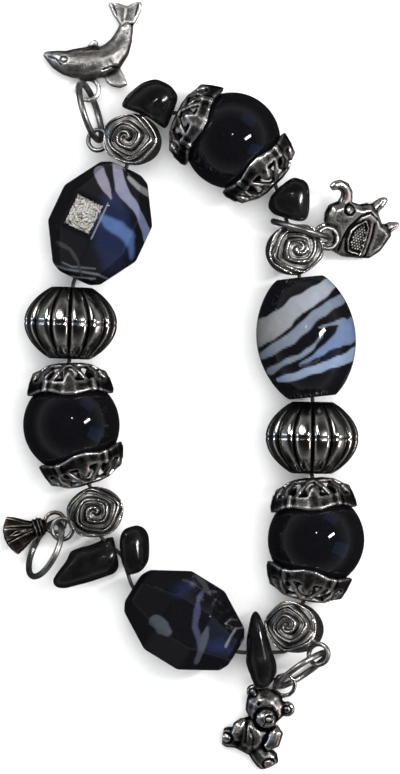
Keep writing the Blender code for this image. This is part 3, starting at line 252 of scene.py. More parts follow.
# Chased lines on the charms, in each charm's own frame and in millimetres: points of the line from above,
# distance from it at which the mark runs (0 for on it), half-width of the mark, and depth
STROKES = {
    "dolphin": (
        (((-5.7, 4.75), (-4.6, 4.2), (-3.9, 3.3)), 0.0, 0.12, 0.16),
        (((-3.5, 4.15),), 0.5, 0.13, 0.14),
        (((2.3, 2.6), (3.4, 3.0), (4.6, 3.1)), 0.0, 0.16, 0.2),
        (((-0.6, 5.5), (0.6, 5.8), (1.6, 5.7)), 0.0, 0.15, 0.14),
        (((5.0, 9.4), (5.7, 9.9), (6.5, 9.5)), 0.0, 0.15, 0.14),
        (((4.2, 11.0), (3.6, 12.6)), 0.0, 0.12, 0.12),
        (((6.9, 10.9), (7.3, 12.6)), 0.0, 0.12, 0.12),
        (((5.3, 10.2), (5.5, 11.9)), 0.0, 0.14, -0.12),
    ),
    "elephant": (
        (((1.9, 4.7),), 0.75, 0.14, 0.2),
        (((1.9, 4.7),), 0.28, 0.1, 0.14),
        (((2.3, -2.0), (2.3, 0.4), (2.7, 2.2), (3.9, 4.3), (5.1, 5.2), (6.6, 4.6)), 0.0, 0.17, 0.22),
        (((6.6, -1.3), (6.6, 1.6), (6.3, 3.8)), 0.0, 0.17, 0.2),
        (((6.2, 6.0), (6.7, 7.2)), 0.0, 0.12, 0.12),
        (((9.2, 3.6), (10.1, 4.4)), 0.0, 0.12, 0.12),
        (((8.6, 2.9), (8.4, 0.9), (7.4, -0.8)), 0.0, 0.14, -0.14),
        (((1.9, 6.5), (1.2, 7.8), (-0.4, 8.4)), 0.0, 0.1, 0.12),
        (((0.6, 5.6), (0.5, 6.6), (0.0, 7.1), (-0.9, 7.1)), 0.0, 0.1, 0.12),
    ),
    "bear": (
        (((-2.6, -4.7),), 1.7, 0.2, 0.26),
        (((-2.1, -4.55),), 0.55, 0.12, 0.16),
        (((-2.6, -5.0), (-2.9, -5.6)), 0.0, 0.1, 0.14),
        (((-3.6, -2.5),), 0.0, 0.26, 0.2),
        (((-1.6, -3.0),), 0.0, 0.26, 0.2),
        (((-4.5, -0.9),), 0.55, 0.14, 0.16),
        (((0.4, -3.5),), 0.6, 0.14, 0.18),
        (((-8.5, -7.7),), 0.85, 0.16, 0.2),
        (((-2.2, -11.6),), 0.9, 0.16, 0.22),
        (((-5.4, -5.2), (-5.5, -6.8), (-5.6, -8.2)), 0.0, 0.16, 0.2),
        (((-2.2, -6.2), (-2.6, -7.8), (-3.3, -8.7)), 0.0, 0.16, 0.2),
        (((-5.0, -6.0), (-4.4, -7.6), (-4.6, -9.0)), 0.0, 0.12, 0.1),
    ),
    "posy": (
        (((-3.2, -0.9), (-7.2, -1.0)), 0.0, 0.1, 0.16),
        (((-3.2, -1.3), (-7.0, -3.2)), 0.0, 0.1, 0.16),
        (((-3.2, -0.6), (-7.0, 0.4)), 0.0, 0.1, 0.16),
        (((-4.2, -1.3), (-5.4, -2.1), (-6.4, -2.2), (-5.6, -1.6), (-4.2, -1.3)), 0.0, 0.1, -0.16),
    ),
}
# Beads of the elephant's ear: corners of their field, spacing and size
EAR_FIELD = ((4.6, 3.3), (3.9, 2.4), (3.5, 1.4), (3.5, 0.3), (4.0, -0.8), (5.4, -0.8), (5.4, 1.4), (5.2, 2.8))
EAR_STEP = 0.42
EAR_ROW = 0.87
EAR_BEAD = (0.14, 0.17)

# Cast pieces made from their solids: voxel size in millimetres, rounds of smoothing, rounds of the
# smoothing that wear is read against, and silver that it's made of
CASTS = {
    "dolphin": (0.13, 34, 18, "silver_pale"),
    "elephant": (0.13, 17, 16, "silver_cap"),
    "bear": (0.13, 26, 16, "silver"),
    "posy": (0.095, 3, 10, "silver_brown"),
    "cap_1a": (0.17, 3, 8, "silver_cap"),
    "cap_1b": (0.17, 3, 8, "silver_cap"),
    "cap_2a": (0.17, 3, 8, "silver_cap"),
    "cap_2b": (0.17, 3, 8, "silver_cap"),
    "cap_3a": (0.17, 3, 8, "silver_cap"),
    "cap_3b": (0.17, 3, 8, "silver_cap"),
}
# Stones made from their solids: voxel size in millimetres and rounds of smoothing
CHIP_SKIN = (0.2, 19)
# Shares of each round's two steps of smoothing, and of the last step
SMOOTHING = (0.6, -0.56)
LAST_SMOOTHING = 0.5
JOIN_DISTANCE = 0.001 * MM
# Decimals of a metre to which a ring's split points are the same
SAME_POINT = 7
THREAD_ROUNDING = 2

# Silvers: stops of wear and colour, marks of the grain in a metre, its depth, and roughness of recess and
# of ridge
SILVER_STOPS = ((0.2, (0.006, 0.006, 0.006)), (0.38, (0.06, 0.059, 0.057)), (0.5, (0.26, 0.256, 0.248)),
                (0.67, (0.56, 0.55, 0.535)), (0.9, (0.93, 0.92, 0.9)))
PALE_STOPS = ((0.08, (0.02, 0.02, 0.02)), (0.3, (0.13, 0.128, 0.124)), (0.48, (0.38, 0.37, 0.36)),
              (0.66, (0.62, 0.61, 0.6)), (0.88, (0.92, 0.91, 0.89)))
CAP_STOPS = ((0.22, (0.006, 0.006, 0.006)), (0.38, (0.07, 0.069, 0.067)), (0.5, (0.3, 0.295, 0.285)),
             (0.7, (0.58, 0.57, 0.555)), (0.92, (0.9, 0.89, 0.87)))
BROWN_STOPS = ((0.22, (0.005, 0.004, 0.0035)), (0.44, (0.035, 0.03, 0.026)), (0.58, (0.15, 0.13, 0.115)),
               (0.74, (0.42, 0.38, 0.35)), (0.92, (0.85, 0.82, 0.79)))
SILVERS = {
    "silver": (SILVER_STOPS, 3200, 0.05 * MM, (0.5, 0.2)),
    "silver_pale": (PALE_STOPS, 1900, 0.25 * MM, (0.5, 0.3)),
    "silver_cap": (CAP_STOPS, 3000, 0.06 * MM, (0.5, 0.26)),
    "silver_brown": (BROWN_STOPS, 2800, 0.05 * MM, (0.5, 0.24)),
    "silver_bright": (SILVER_STOPS, 5200, 0.012 * MM, (0.34, 0.1)),
}
# Shares of the silver's wear that its blotches and its grain change
BLOTCH_SHARE = 0.55
GRAIN_SHARE = 0.35
GLASS_GLOSS = 0.36
# Depth of the ripples in the glass, plain and with swirls
PLAIN_RIPPLE = 0.002 * MM
SWIRL_RIPPLE = 0.007 * MM

# Lights: name, direction, distance, width and length in metres, power, colour, turn in degrees, whether they
# show in reflections, and the material slot or piece that they light, or None for all
LIGHTS = (
    ("overhead", (0.05, 0.1, 1), 1.6, 1.6, 1.6, 44, (1, 1, 1), 0, False, None),
    ("key", (0.6, 0.15, 0.78), 0.6, 0.05, 0.17, 2.0, (1, 1, 1), 20, True, None),
    ("spot", (0.02, 0.27, 0.96), 0.7, 0.03, 0.02, 0.12, (1, 1, 1), 30, True, None),
    ("pane", (-0.4078, 0.2237, 0.4226), 0.6284, 0.009, 0.0115, 0.015, (1, 0.97, 0.9), 25, True,
     "swirl_1_look"),
    ("window", (0.82, -0.34, 0.42), 0.7, 0.32, 0.5, 0.30, (0.22, 0.4, 1), 0, True, "black_glass"),
    ("window_far", (0.55, 0.72, 0.42), 0.7, 0.35, 0.3, 0.16, (0.22, 0.36, 1), 0, True, "black_glass"),
    ("left", (-0.9, 0.3, 0.35), 0.8, 0.25, 0.5, 0.9, (0.75, 0.85, 1), 0, False, None),
    ("soft", (-0.45, 0.5, 0.75), 0.8, 0.3, 0.4, 2.6, (1, 0.98, 0.95), 0, True, "antique_silver"),
    ("warm", (0.85, -0.25, 0.3), 0.8, 0.4, 0.14, 0.9, (1, 0.8, 0.74), 0, True, "antique_silver"),
    ("cool", (-0.85, 0.1, 0.3), 0.8, 0.08, 0.4, 0.6, (0.62, 0.77, 1), 0, True, "antique_silver"),
)
# Brightness of the surroundings from straight down (0) to straight up (1)
SKY = ((0.35, 0.03), (0.48, 0.2), (0.56, 0.5), (0.64, 0.3), (0.8, 0.05), (0.9, 0.012))
SKY_STRENGTH = 0.8
FLOOR_HALF = 1.5


# Meshes

def grid_mesh(name, points, rows, columns, closed=True):
    """A mesh over rows of points that each go round; a closed one joins its last row to its first."""
    lows = np.arange(rows if closed else rows - 1)
    low, column = np.meshgrid(lows, np.arange(columns), indexing="ij")
    high = (low + 1) % rows
    after = (column + 1) % columns
    corners = [low * columns + column, low * columns + after, high * columns + after, high * columns + column]
    faces = np.stack([corner.ravel() for corner in corners], 1)
    return mesh_of(name, points, faces.tolist())


def mesh_of(name, points, faces):
    """A smooth mesh with its faces turned outwards."""
    mesh = bpy.data.meshes.new(name)
    mesh.from_pydata([tuple(point) for point in points], [], faces)
    shape = bmesh.new()
    shape.from_mesh(mesh)
    bmesh.ops.recalc_face_normals(shape, faces=shape.faces)
    shape.to_mesh(mesh)
    shape.free()
    mesh.shade_smooth()
    return mesh


def points_of(mesh):
    """The points of a mesh as an array."""
    flat = np.empty(len(mesh.vertices) * 3)
    mesh.vertices.foreach_get("co", flat)
    return flat.reshape(-1, 3)


def normals_of(mesh):
    """The normals of a mesh's points as an array."""
    flat = np.empty(len(mesh.vertices) * 3)
    mesh.vertices.foreach_get("normal", flat)
    return flat.reshape(-1, 3)


def edges_of(mesh):
    """The edges of a mesh as pairs of point numbers."""
    flat = np.empty(len(mesh.edges) * 2, int)
    mesh.edges.foreach_get("vertices", flat)
    return flat.reshape(-1, 2)


def averaged(values, edges, rounds, share=1.0):
    """Values moved towards the mean of their neighbours, a number of times."""
    count = np.bincount(edges.ravel(), minlength=len(values))[:, None]
    for _ in range(rounds):
        total = np.zeros_like(values)
        np.add.at(total, edges[:, 0], values[edges[:, 1]])
        np.add.at(total, edges[:, 1], values[edges[:, 0]])
        values = values + share * (total / count - values)
    return values


def set_points(mesh, points):
    """Writes an array of points back to its mesh."""
    mesh.vertices.foreach_set("co", points.ravel())
    mesh.update()


def store(mesh, name, values):
    """Stores a value or a colour for each point of a mesh."""
    if values.ndim == 1:
        layer = mesh.attributes.new(name, "FLOAT", "POINT")
        layer.data.foreach_set("value", values)
    else:
        layer = mesh.attributes.new(name, "FLOAT_COLOR", "POINT")
        full = np.concatenate([values, np.ones((len(values), 1))], 1)
        layer.data.foreach_set("color", full.ravel())


def mark_wear(mesh, rounds, span):
    """Stores how far each point stands proud of its surroundings: 0 in a recess, 1 on a ridge."""
    points = points_of(mesh)
    soft = averaged(points, edges_of(mesh), rounds)
    proud = ((points - soft) * normals_of(mesh)).sum(1)
    store(mesh, "wear", np.clip(0.5 + (proud - np.median(proud)) / span, 0, 1))


def bead_matrix(name):
    """Frame of a bead: its hole along X, its top along Z."""
    x, y, z, heading, roll = FRAMES[name]
    return (Matrix.Translation(Vector((x, y, z)) * MM) @ Matrix.Rotation(math.radians(heading), 4, "Z")
            @ Matrix.Rotation(math.radians(roll), 4, "X"))


def turned_points(profile, sides, reach=None):
    """Points of a profile of (x, radius) turned about X. reach may change the radii with the angle."""
    profile = np.array(profile)
    turns = 2 * np.pi * np.arange(sides) / sides
    x = np.repeat(profile[:, 0], sides)
    radius = np.repeat(profile[:, 1], sides)
    angle = np.tile(turns, len(profile))
    if reach:
        radius = reach(x, radius, angle)
    return np.stack([x, -radius * np.sin(angle), radius * np.cos(angle)], 1)


def bored(outer):
    """A bead's profile with a rounded lip at each end of its hole."""
    lip = [(math.sin(turn), 1 - math.cos(turn)) for turn in np.linspace(0, math.pi / 2, LIP_ROWS)]
    first, last = outer[0][0], outer[-1][0]
    start = [(first - LIP * (1 - along), BORE_RADIUS + LIP * out) for along, out in lip]
    stop = [(last + LIP * (1 - along), BORE_RADIUS + LIP * out) for along, out in reversed(lip)]
    middle = [(x, radius) for x, radius in outer if radius > BORE_RADIUS + LIP * LIP_MARGIN]
    return [*start, *middle, *stop]


def barrel(length, radius, end_radius, fullness, steps):
    """Outer curve of a barrel-shaped bead."""
    outer = []
    for step in range(steps + 1):
        share = math.cos(math.pi * step / steps)
        swell = (1 - share ** 2) ** fullness
        outer.append((length / 2 * share, end_radius + (radius - end_radius) * swell))
    return outer


# Pieces

def add_piece(node, mesh, finish):
    """Adds a piece that rides on the bracelet and stands for a node's solid."""
    piece = bpy.data.objects.new(f"{node}_look", mesh)
    bpy.context.collection.objects.link(piece)
    mesh.materials.clear()
    mesh.materials.append(finish)
    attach(piece, "root")
    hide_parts(node)
    return piece


def round_bead(name):
    """A round glass bead."""
    rows, columns = GLASS_GRID
    start = math.asin(BORE_RADIUS / GLASS_RADIUS)
    turns = np.linspace(start, math.pi - start, rows)
    outer = [(GLASS_RADIUS * math.cos(turn), GLASS_RADIUS * math.sin(turn)) for turn in turns]
    profile = bored(outer)
    mesh = grid_mesh(name, turned_points(profile, columns), len(profile), columns)
    mesh.transform(bead_matrix(name))
    return mesh


def facet_reach(x, radius, angle):
    """Radius of an eight-sided bead with softly rounded edges."""
    total = np.zeros_like(angle)
    for side in range(FACET_SIDES):
        middle = 2 * math.pi * (side + 0.5) / FACET_SIDES
        total += np.maximum(0, np.cos(angle - middle)) ** FACET_SHARPNESS
    flat = math.cos(math.pi / FACET_SIDES) * total ** (-1 / FACET_SHARPNESS)
    share = np.clip((radius - BORE_RADIUS - LIP) / (FACETED[2] - BORE_RADIUS - LIP), 0, 1)
    return radius * (1 + (flat - 1) * share)


def swirl_bead(name):
    """A glass bead with swirls, smooth or faceted."""
    if name == "swirl_2":
        outer = barrel(*OVAL, OVAL_GRID[0])
        profile = bored([*outer_end(outer, 1), *outer, *outer_end(outer, -1)])
        local = turned_points(profile, OVAL_GRID[1])
    else:
        profile = bored(faceted_outer())
        local = turned_points(profile, FACETED_GRID[1], facet_reach)
    mesh = grid_mesh(name, local, len(profile), len(local) // len(profile))
    # The stored colours hold the swirls and, on swirl_1, a painted highlight along the top ridge
    store(mesh, "tint_and_highlight", swirl_tints_and_highlight(name, local))
    mesh.transform(bead_matrix(name))
    return mesh


def outer_end(outer, side):
    """Rows over the flat end of a bead, from its hole outwards or back."""
    x, radius = outer[0] if side > 0 else outer[-1]
    inner, rim = END_MARGINS
    rows = [(x, reach) for reach in np.linspace(BORE_RADIUS + inner, radius - rim, END_ROWS)]
    return rows[::side]


def faceted_outer():
    """Outer curve of a faceted bead: straight runs with slightly rounded corners."""
    length, radius, end_radius = FACETED
    corners = [(length / 2 * along, end_radius + (radius - end_radius) * share)
               for along, share in FACETED_STATIONS]
    corners += [(-x, reach) for x, reach in reversed(corners)]
    spots = np.array([(length / 2, BORE_RADIUS), *corners, (-length / 2, BORE_RADIUS)])
    runs = np.concatenate([[0], np.cumsum(np.linalg.norm(np.diff(spots, axis=0), axis=1))])
    along = np.linspace(0, runs[-1], FACETED_GRID[0])
    dense = np.stack([np.interp(along, runs, spots[:, axis]) for axis in range(2)], 1)
    kernel = np.array(CORNER_ROUNDING) / sum(CORNER_ROUNDING)
    padded = np.concatenate([dense[:1], dense[:1], dense, dense[-1:], dense[-1:]])
    rounded = np.stack([np.convolve(padded[:, axis], kernel, "valid") for axis in range(2)], 1)
    return [tuple(row) for row in rounded]


def linear(tint_and_highlight):
    """Colour values of 0 to 255 as light."""
    share = np.array(tint_and_highlight) / 255
    return np.where(share <= 0.04045, share / 12.92, ((share + 0.055) / 1.055) ** 2.4)


def swirl_tints_and_highlight(name, local):
    """Colour of every point of a swirled bead: its swirls, and on swirl_1 a painted highlight along the top
    ridge. Below the waist the pattern is the one above, mirrored.
    """
    colours = np.tile(linear(TINTS_AND_HIGHLIGHT["black"]), (len(local), 1))
    here = local[:, :2] / MM
    wander = WANDER * np.prod([np.sin(here @ np.array(wave)) for wave in WANDER_WAVES], axis=0)
    for tint_and_highlight, band in SWIRLS_AND_HIGHLIGHT[name]:
        band = np.array(band)
        best = np.full(len(here), np.inf)
        reached = np.zeros(len(here))
        for number, (first, second) in enumerate(zip(band, band[1:])):
            step = second[:2] - first[:2]
            along = np.clip((here - first[:2]) @ step / (step @ step), 0, 1)
            gap = np.linalg.norm(here - first[:2] - along[:, None] * step, axis=1)
            gap -= 0.5 * (first[2] + along * (second[2] - first[2]))
            reached = np.where(gap < best, (number + along) / (len(band) - 1), reached)
            best = np.minimum(best, gap)
        if tint_and_highlight not in EVEN_TINTS_AND_HIGHLIGHT:
            best += wander
        edge = np.clip(0.5 - best / (2 * SOFT_TINTS.get(tint_and_highlight, SWIRL_EDGE)), 0, 1)
        share = (edge * edge * (3 - 2 * edge))[:, None]
        start, stop = linear(TINTS_AND_HIGHLIGHT[tint_and_highlight.split()[0]]), linear(TINTS_AND_HIGHLIGHT[tint_and_highlight.split()[-1]])
        colours = colours * (1 - share) + (start + reached[:, None] * (stop - start)) * share
    return colours


def melon_reach(x, radius, angle):
    """Radius of a ribbed bead: full ribs with a narrow groove between each two."""
    fullness = np.clip((radius - MELON[2]) / (MELON[1] - MELON[2]), 0, 1)
    phase = (angle * MELON_RIBS / (2 * np.pi)) % 1.0
    groove = np.abs(2 * phase - 1) ** MELON_SHARPNESS
    bow = MELON_BOW * (2 * phase - 1) ** 2
    return radius - MELON_GROOVE * (groove + bow) * fullness ** 0.5


def melon_bead(name):
    """A ribbed silver bead with the seam of its two halves."""
    depth, width = MELON_SEAM
    outer = barrel(*MELON, MELON_ROWS)
    outer = [(x, radius - depth * math.exp(-(x / width) ** 2)) for x, radius in outer]
    profile = bored([*outer_end(outer, 1), *outer, *outer_end(outer, -1)])
    sides = MELON_RIBS * RIB_COLUMNS
    local = turned_points(profile, sides, melon_reach)
    mesh = grid_mesh(name, local, len(profile), sides)
    mark_wear(mesh, *MELON_WEAR)
    mesh.transform(bead_matrix(name))
    return mesh


def hump(values, middle, width, height):
    """A soft hump over the values around its middle."""
    return height * np.exp(-((values - middle) / width) ** 2)


def rose_relief(share, angle):
    """Height of a rose's petals above its dome at a share of its radius and an angle."""
    turns, widening, start = PETAL_SPIRAL
    reach, number, turn, twist, inner = PETAL_CORNERS
    corners = reach * share * np.abs(np.sin(number * angle + turn + twist * share)) * (share > inner)
    tooth = (share ** widening * turns - angle / (2 * np.pi) + corners + start) % 1.0
    height, power = PETAL_RISE
    drop = np.clip((1 - tooth) / PETAL_DROP, 0, 1)
    petal = height * tooth ** power * drop
    return petal + hump(tooth, *PETAL_LIP) + hump(tooth, *PETAL_VEIN) - PETAL_DEPTH


def rose_row(share, strength, height, turns):
    """Points round a rose at a share of its radius, with its scallops at some strength."""
    number, turn = ROSE_SCALLOPS
    reach = ROSE_WIDTH / 2 * share * (1 + ROSE_SCALLOP * np.cos(number * turns + turn) * strength)
    stretch = ROSE_LENGTH / ROSE_WIDTH
    height = np.broadcast_to(height, turns.shape)
    return np.stack([reach * stretch * np.cos(turns), reach * np.sin(turns), height], 1)


def rose_points():
    """Rows of points over a rose's top and down its side, and their number."""
    rows, columns = ROSE_GRID
    turns = 2 * np.pi * np.arange(columns) / columns
    half = ROSE_HEIGHT / 2
    points = []
    for row in range(rows):
        share = (row + 0.5) / (rows - 0.5) * ROSE_EDGE
        dome = half * (1 - ROSE_DROP * share ** ROSE_DOME)
        fade = min(1.0, (1 - share) / ROSE_FADE)
        height = dome + ROSE_RELIEF * fade * rose_relief(share, turns)
        points.append(rose_row(share, share ** 3, height, turns))
    along, shares, levels = zip(*ROSE_SIDE)
    for place in np.linspace(ROSE_SIDE_START, 1, ROSE_SIDE_ROWS):
        level = np.interp(place, along, levels)
        strength = max(0.0, level / ROSE_TOP)
        points.append(rose_row(np.interp(place, along, shares), strength, level * half, turns))
    return np.concatenate(points), len(points)


def rose_bead(name):
    """A rose bead with curling petals, a plain underside and a bail loop."""
    points, rows = rose_points()
    mesh = grid_mesh(name, points, rows, ROSE_GRID[1], closed=False)
    close_up(mesh)
    mark_wear(mesh, *ROSE_WEAR)
    out = ROSE_WIDTH / 2 + LOOP_RADIUS - LOOP_WIRE / 2
    turn = math.radians(ROSE_LOOPS[name])
    loop = torus_mesh("loop", LOOP_RADIUS, LOOP_WIRE, *LOOP_GRID)
    loop.transform(Matrix.Translation((out * math.cos(turn), out * math.sin(turn), 0)))
    store(loop, "wear", np.full(len(loop.vertices), LOOP_WEAR))
    merged = merged_mesh(name, [mesh, loop])
    merged.transform(bead_matrix(name))
    return merged


def close_up(mesh):
    """Fills the open ends of a mesh."""
    shape = bmesh.new()
    shape.from_mesh(mesh)
    bmesh.ops.holes_fill(shape, edges=shape.edges, sides=0)
    bmesh.ops.recalc_face_normals(shape, faces=shape.faces)
    shape.to_mesh(mesh)
    shape.free()
    mesh.shade_smooth()


def merged_mesh(name, meshes):
    """Several meshes as one."""
    shape = bmesh.new()
    for mesh in meshes:
        shape.from_mesh(mesh)
    whole = bpy.data.meshes.new(name)
    shape.to_mesh(whole)
    shape.free()
    whole.shade_smooth()
    return whole


def torus_mesh(name, radius, wire, around, sides):
    """A round ring of round wire in the XY plane."""
    turn = np.repeat(2 * np.pi * np.arange(around) / around, sides)
    side = np.tile(2 * np.pi * np.arange(sides) / sides, around)
    reach = radius + wire * np.cos(side)
    points = np.stack([reach * np.cos(turn), reach * np.sin(turn), wire * np.sin(side)], 1)
    return grid_mesh(name, points, around, sides)


def jump_ring(name):
    """A smooth jump ring where its solid lies."""
    unique = np.unique(np.round(points_of(NODES[name].data), SAME_POINT), axis=0)
    middle = unique.mean(0)
    axes = np.linalg.svd(unique - middle, full_matrices=False)[2]
    frame_of = Matrix([list(axis) for axis in axes]).transposed()
    if frame_of.determinant() < 0:
        frame_of.col[2] = -frame_of.col[2]
    mesh = torus_mesh(name, RING_RADIUS, RING_WIRE, *RING_GRID)
    store(mesh, "wear", np.full(len(mesh.vertices), RING_WEAR))
    mesh.transform(Matrix.Translation(middle) @ frame_of.to_4x4())
    return mesh


def joined_copy(node):
    """A copy of a node's mesh with its split points joined, and its runs of metal added."""
    mesh = NODES[node].data.copy()
    shape = bmesh.new()
    shape.from_mesh(mesh)
    bmesh.ops.remove_doubles(shape, verts=shape.verts, dist=JOIN_DISTANCE)
    for *middle, radius in run_spots(node):
        place = Matrix.Translation(charm_matrix(node) @ (Vector(middle) * MM))
        bmesh.ops.create_icosphere(shape, subdivisions=BALL_DETAIL, radius=radius * MM, matrix=place)
    shape.to_mesh(mesh)
    shape.free()
    return mesh


def modified(node, mesh, kind, **settings):
    """A new mesh from a mesh and one modifier."""
    helper = bpy.data.objects.new(f"{node}_helper", mesh)
    bpy.context.collection.objects.link(helper)
    modifier = helper.modifiers.new(kind, kind)
    for setting, value in settings.items():
        setattr(modifier, setting, value)
    graph = bpy.context.evaluated_depsgraph_get()
    made = bpy.data.meshes.new_from_object(helper.evaluated_get(graph))
    bpy.data.objects.remove(helper, do_unlink=True)
    made.name = node
    made.shade_smooth()
    return made


def skin(node, voxel, rounds, worn=False):
    """A finely meshed, softened copy of a node's solid. A worn one loses its edges."""
    fine = modified(node, joined_copy(node), "REMESH", mode="VOXEL", voxel_size=voxel * MM)
    points = points_of(fine)
    edges = edges_of(fine)
    if worn:
        points = averaged(points, edges, rounds)
    else:
        for _ in range(rounds):
            for share in SMOOTHING:
                points = averaged(points, edges, 1, share)
    set_points(fine, averaged(points, edges, 1, LAST_SMOOTHING))
    return fine


def stone_chip(node):
    """A tumbled stone."""
    return skin(node, *CHIP_SKIN, worn=True)


def cast(node):
    """A cast piece: its softened solid with its chased lines, marked for wear."""
    voxel, rounds, wear_rounds, _ = CASTS[node]
    mesh = skin(node, voxel, rounds)
    if node in STROKES:
        chased(mesh, node)
    mark_wear(mesh, wear_rounds, CAST_WEAR_SPAN)
    return mesh


def run_spots(node):
    """Middles and radii of closely set balls along a charm's runs of metal."""
    spots = []
    for run in RUNS.get(node, ()):
        run = np.array(run)
        reach = np.concatenate([[0], np.cumsum(np.linalg.norm(np.diff(run[:, :3], axis=0), axis=1))])
        along = np.linspace(0, reach[-1], int(reach[-1] / RUN_STEP) + 2)
        spots += np.stack([np.interp(along, reach, column) for column in run.T], 1).tolist()
    return spots


def charm_matrix(charm):
    """Frame of a charm: its loop at the origin, its face along Z."""
    place, turn = CHARM_FRAMES[charm]
    return Matrix.LocRotScale(Vector(place) * MM, Euler([math.radians(angle) for angle in turn]), None)


def chased(mesh, charm):
    """Presses a charm's chased lines into its upper side, and raises the beads of the elephant's ear."""
    inverse = np.array(charm_matrix(charm).inverted())
    points = points_of(mesh)
    normals = normals_of(mesh)
    local = (points @ inverse[:3, :3].T + inverse[:3, 3]) / MM
    upper = np.clip((normals @ inverse[:3, :3].T)[:, 2] * 2, 0, 1)
    sunk = np.zeros(len(points))
    for line, reach, width, depth in STROKES[charm]:
        line = np.array(line)
        best = np.full(len(local), np.inf)
        for first, second in zip(line, line[1:] if len(line) > 1 else line):
            step = second - first
            along = np.clip((local[:, :2] - first) @ step / max(step @ step, 1e-9), 0, 1)
            best = np.minimum(best, np.linalg.norm(local[:, :2] - first - along[:, None] * step, axis=1))
        sunk += depth * np.exp(-((best - reach) / width) ** 2)
    if charm == "elephant":
        for centre in ear_beads():
            gap = np.linalg.norm(local[:, :2] - centre, axis=1)
            sunk -= EAR_BEAD[1] * np.exp(-(gap / EAR_BEAD[0]) ** 2)
    set_points(mesh, points - normals * (sunk * upper * MM)[:, None])


def ear_beads():
    """Middles of the beads that fill the elephant's ear."""
    corners = np.array(EAR_FIELD)
    low, high = corners.min(0), corners.max(0)
    spots = []
    for row, y in enumerate(np.arange(low[1], high[1], EAR_STEP * EAR_ROW)):
        for x in np.arange(low[0] + (row % 2) * EAR_STEP / 2, high[0], EAR_STEP):
            ahead = np.roll(corners, -1, axis=0)
            sides = (ahead[:, 0] - corners[:, 0]) * (y - corners[:, 1])
            sides -= (ahead[:, 1] - corners[:, 1]) * (x - corners[:, 0])
            if (sides > 0).all():
                spots.append((x, y))
    return np.array(spots)


def thread_mesh(node):
    """The elastic, rounded from its solid."""
    return modified(node, joined_copy(node), "SUBSURF", levels=THREAD_ROUNDING)


# Materials

def new_material(name):
    """An empty node material: its nodes, a function that links two sockets, and its shader."""
    made = bpy.data.materials.new(name)
    made.use_nodes = True
    tree = made.node_tree
    return made, tree.nodes, tree.links.new, tree.nodes["Principled BSDF"]


def noise(nodes, link, place, scale, detail, roughness=0.5):
    """A noise texture over the object's own space, with marks of about a metre divided by the scale."""
    texture = nodes.new("ShaderNodeTexNoise")
    texture.inputs["Scale"].default_value = scale
    texture.inputs["Detail"].default_value = detail
    texture.inputs["Roughness"].default_value = roughness
    link(place.outputs["Object"], texture.inputs["Vector"])
    return texture


def ramp(nodes, stops):
    """A colour ramp through (position, colour) stops."""
    made = nodes.new("ShaderNodeValToRGB")
    band = made.color_ramp
    while len(band.elements) < len(stops):
        band.elements.new(0.5)
    for element, (position, colour) in zip(band.elements, stops):
        element.position = position
        element.color = (*colour, 1.0) if isinstance(colour, tuple) else (colour, colour, colour, 1.0)
    return made


def ramped(nodes, link, value, stops, socket):
    """Links a value to a socket through a ramp."""
    made = ramp(nodes, stops)
    link(value, made.inputs["Fac"])
    link(made.outputs["Color"], socket)


def centred(nodes, link, texture, share):
    """A noise moved to run either side of 0, times a share."""
    made = nodes.new("ShaderNodeMath")
    made.operation = "MULTIPLY_ADD"
    link(texture.outputs["Fac"], made.inputs[0])
    made.inputs[1].default_value = share
    made.inputs[2].default_value = -share / 2
    return made.outputs[0]


def summed(nodes, link, first, second):
    """The sum of two values."""
    made = nodes.new("ShaderNodeMath")
    link(first, made.inputs[0])
    link(second, made.inputs[1])
    return made.outputs[0]


def mixed(nodes, link, blend, first):
    """A node that blends a colour in full with its second input."""
    made = nodes.new("ShaderNodeMix")
    made.data_type = "RGBA"
    made.blend_type = blend
    made.inputs["Factor"].default_value = 1.0
    link(first, made.inputs["A"])
    return made


def bumped(nodes, link, shader, texture, strength, distance):
    """Links a noise to a shader's normal as a relief."""
    bump = nodes.new("ShaderNodeBump")
    bump.inputs["Strength"].default_value = strength
    bump.inputs["Distance"].default_value = distance
    link(texture.outputs["Fac"], bump.inputs["Height"])
    link(bump.outputs["Normal"], shader.inputs["Normal"])


def silver_material(name, stops, grain, grain_depth, rough):
    """Antiqued silver: dark in its recesses, rubbed bright on its ridges, with a fine cast grain."""
    made, nodes, link, shader = new_material(name)
    place = nodes.new("ShaderNodeTexCoord")
    wear = nodes.new("ShaderNodeAttribute")
    wear.attribute_name = "wear"
    blotch = noise(nodes, link, place, scale=420, detail=4, roughness=0.6)
    fine = noise(nodes, link, place, scale=grain, detail=3, roughness=0.65)
    blotches = centred(nodes, link, blotch, BLOTCH_SHARE)
    marks = summed(nodes, link, blotches, centred(nodes, link, fine, GRAIN_SHARE))
    total = summed(nodes, link, wear.outputs["Fac"], marks)
    ramped(nodes, link, total, stops, shader.inputs["Base Color"])
    ramped(nodes, link, total, ((0.25, rough[0]), (0.8, rough[1])), shader.inputs["Roughness"])
    shader.inputs["Metallic"].default_value = 1.0
    bumped(nodes, link, shader, fine, strength=0.5, distance=grain_depth)
    return made


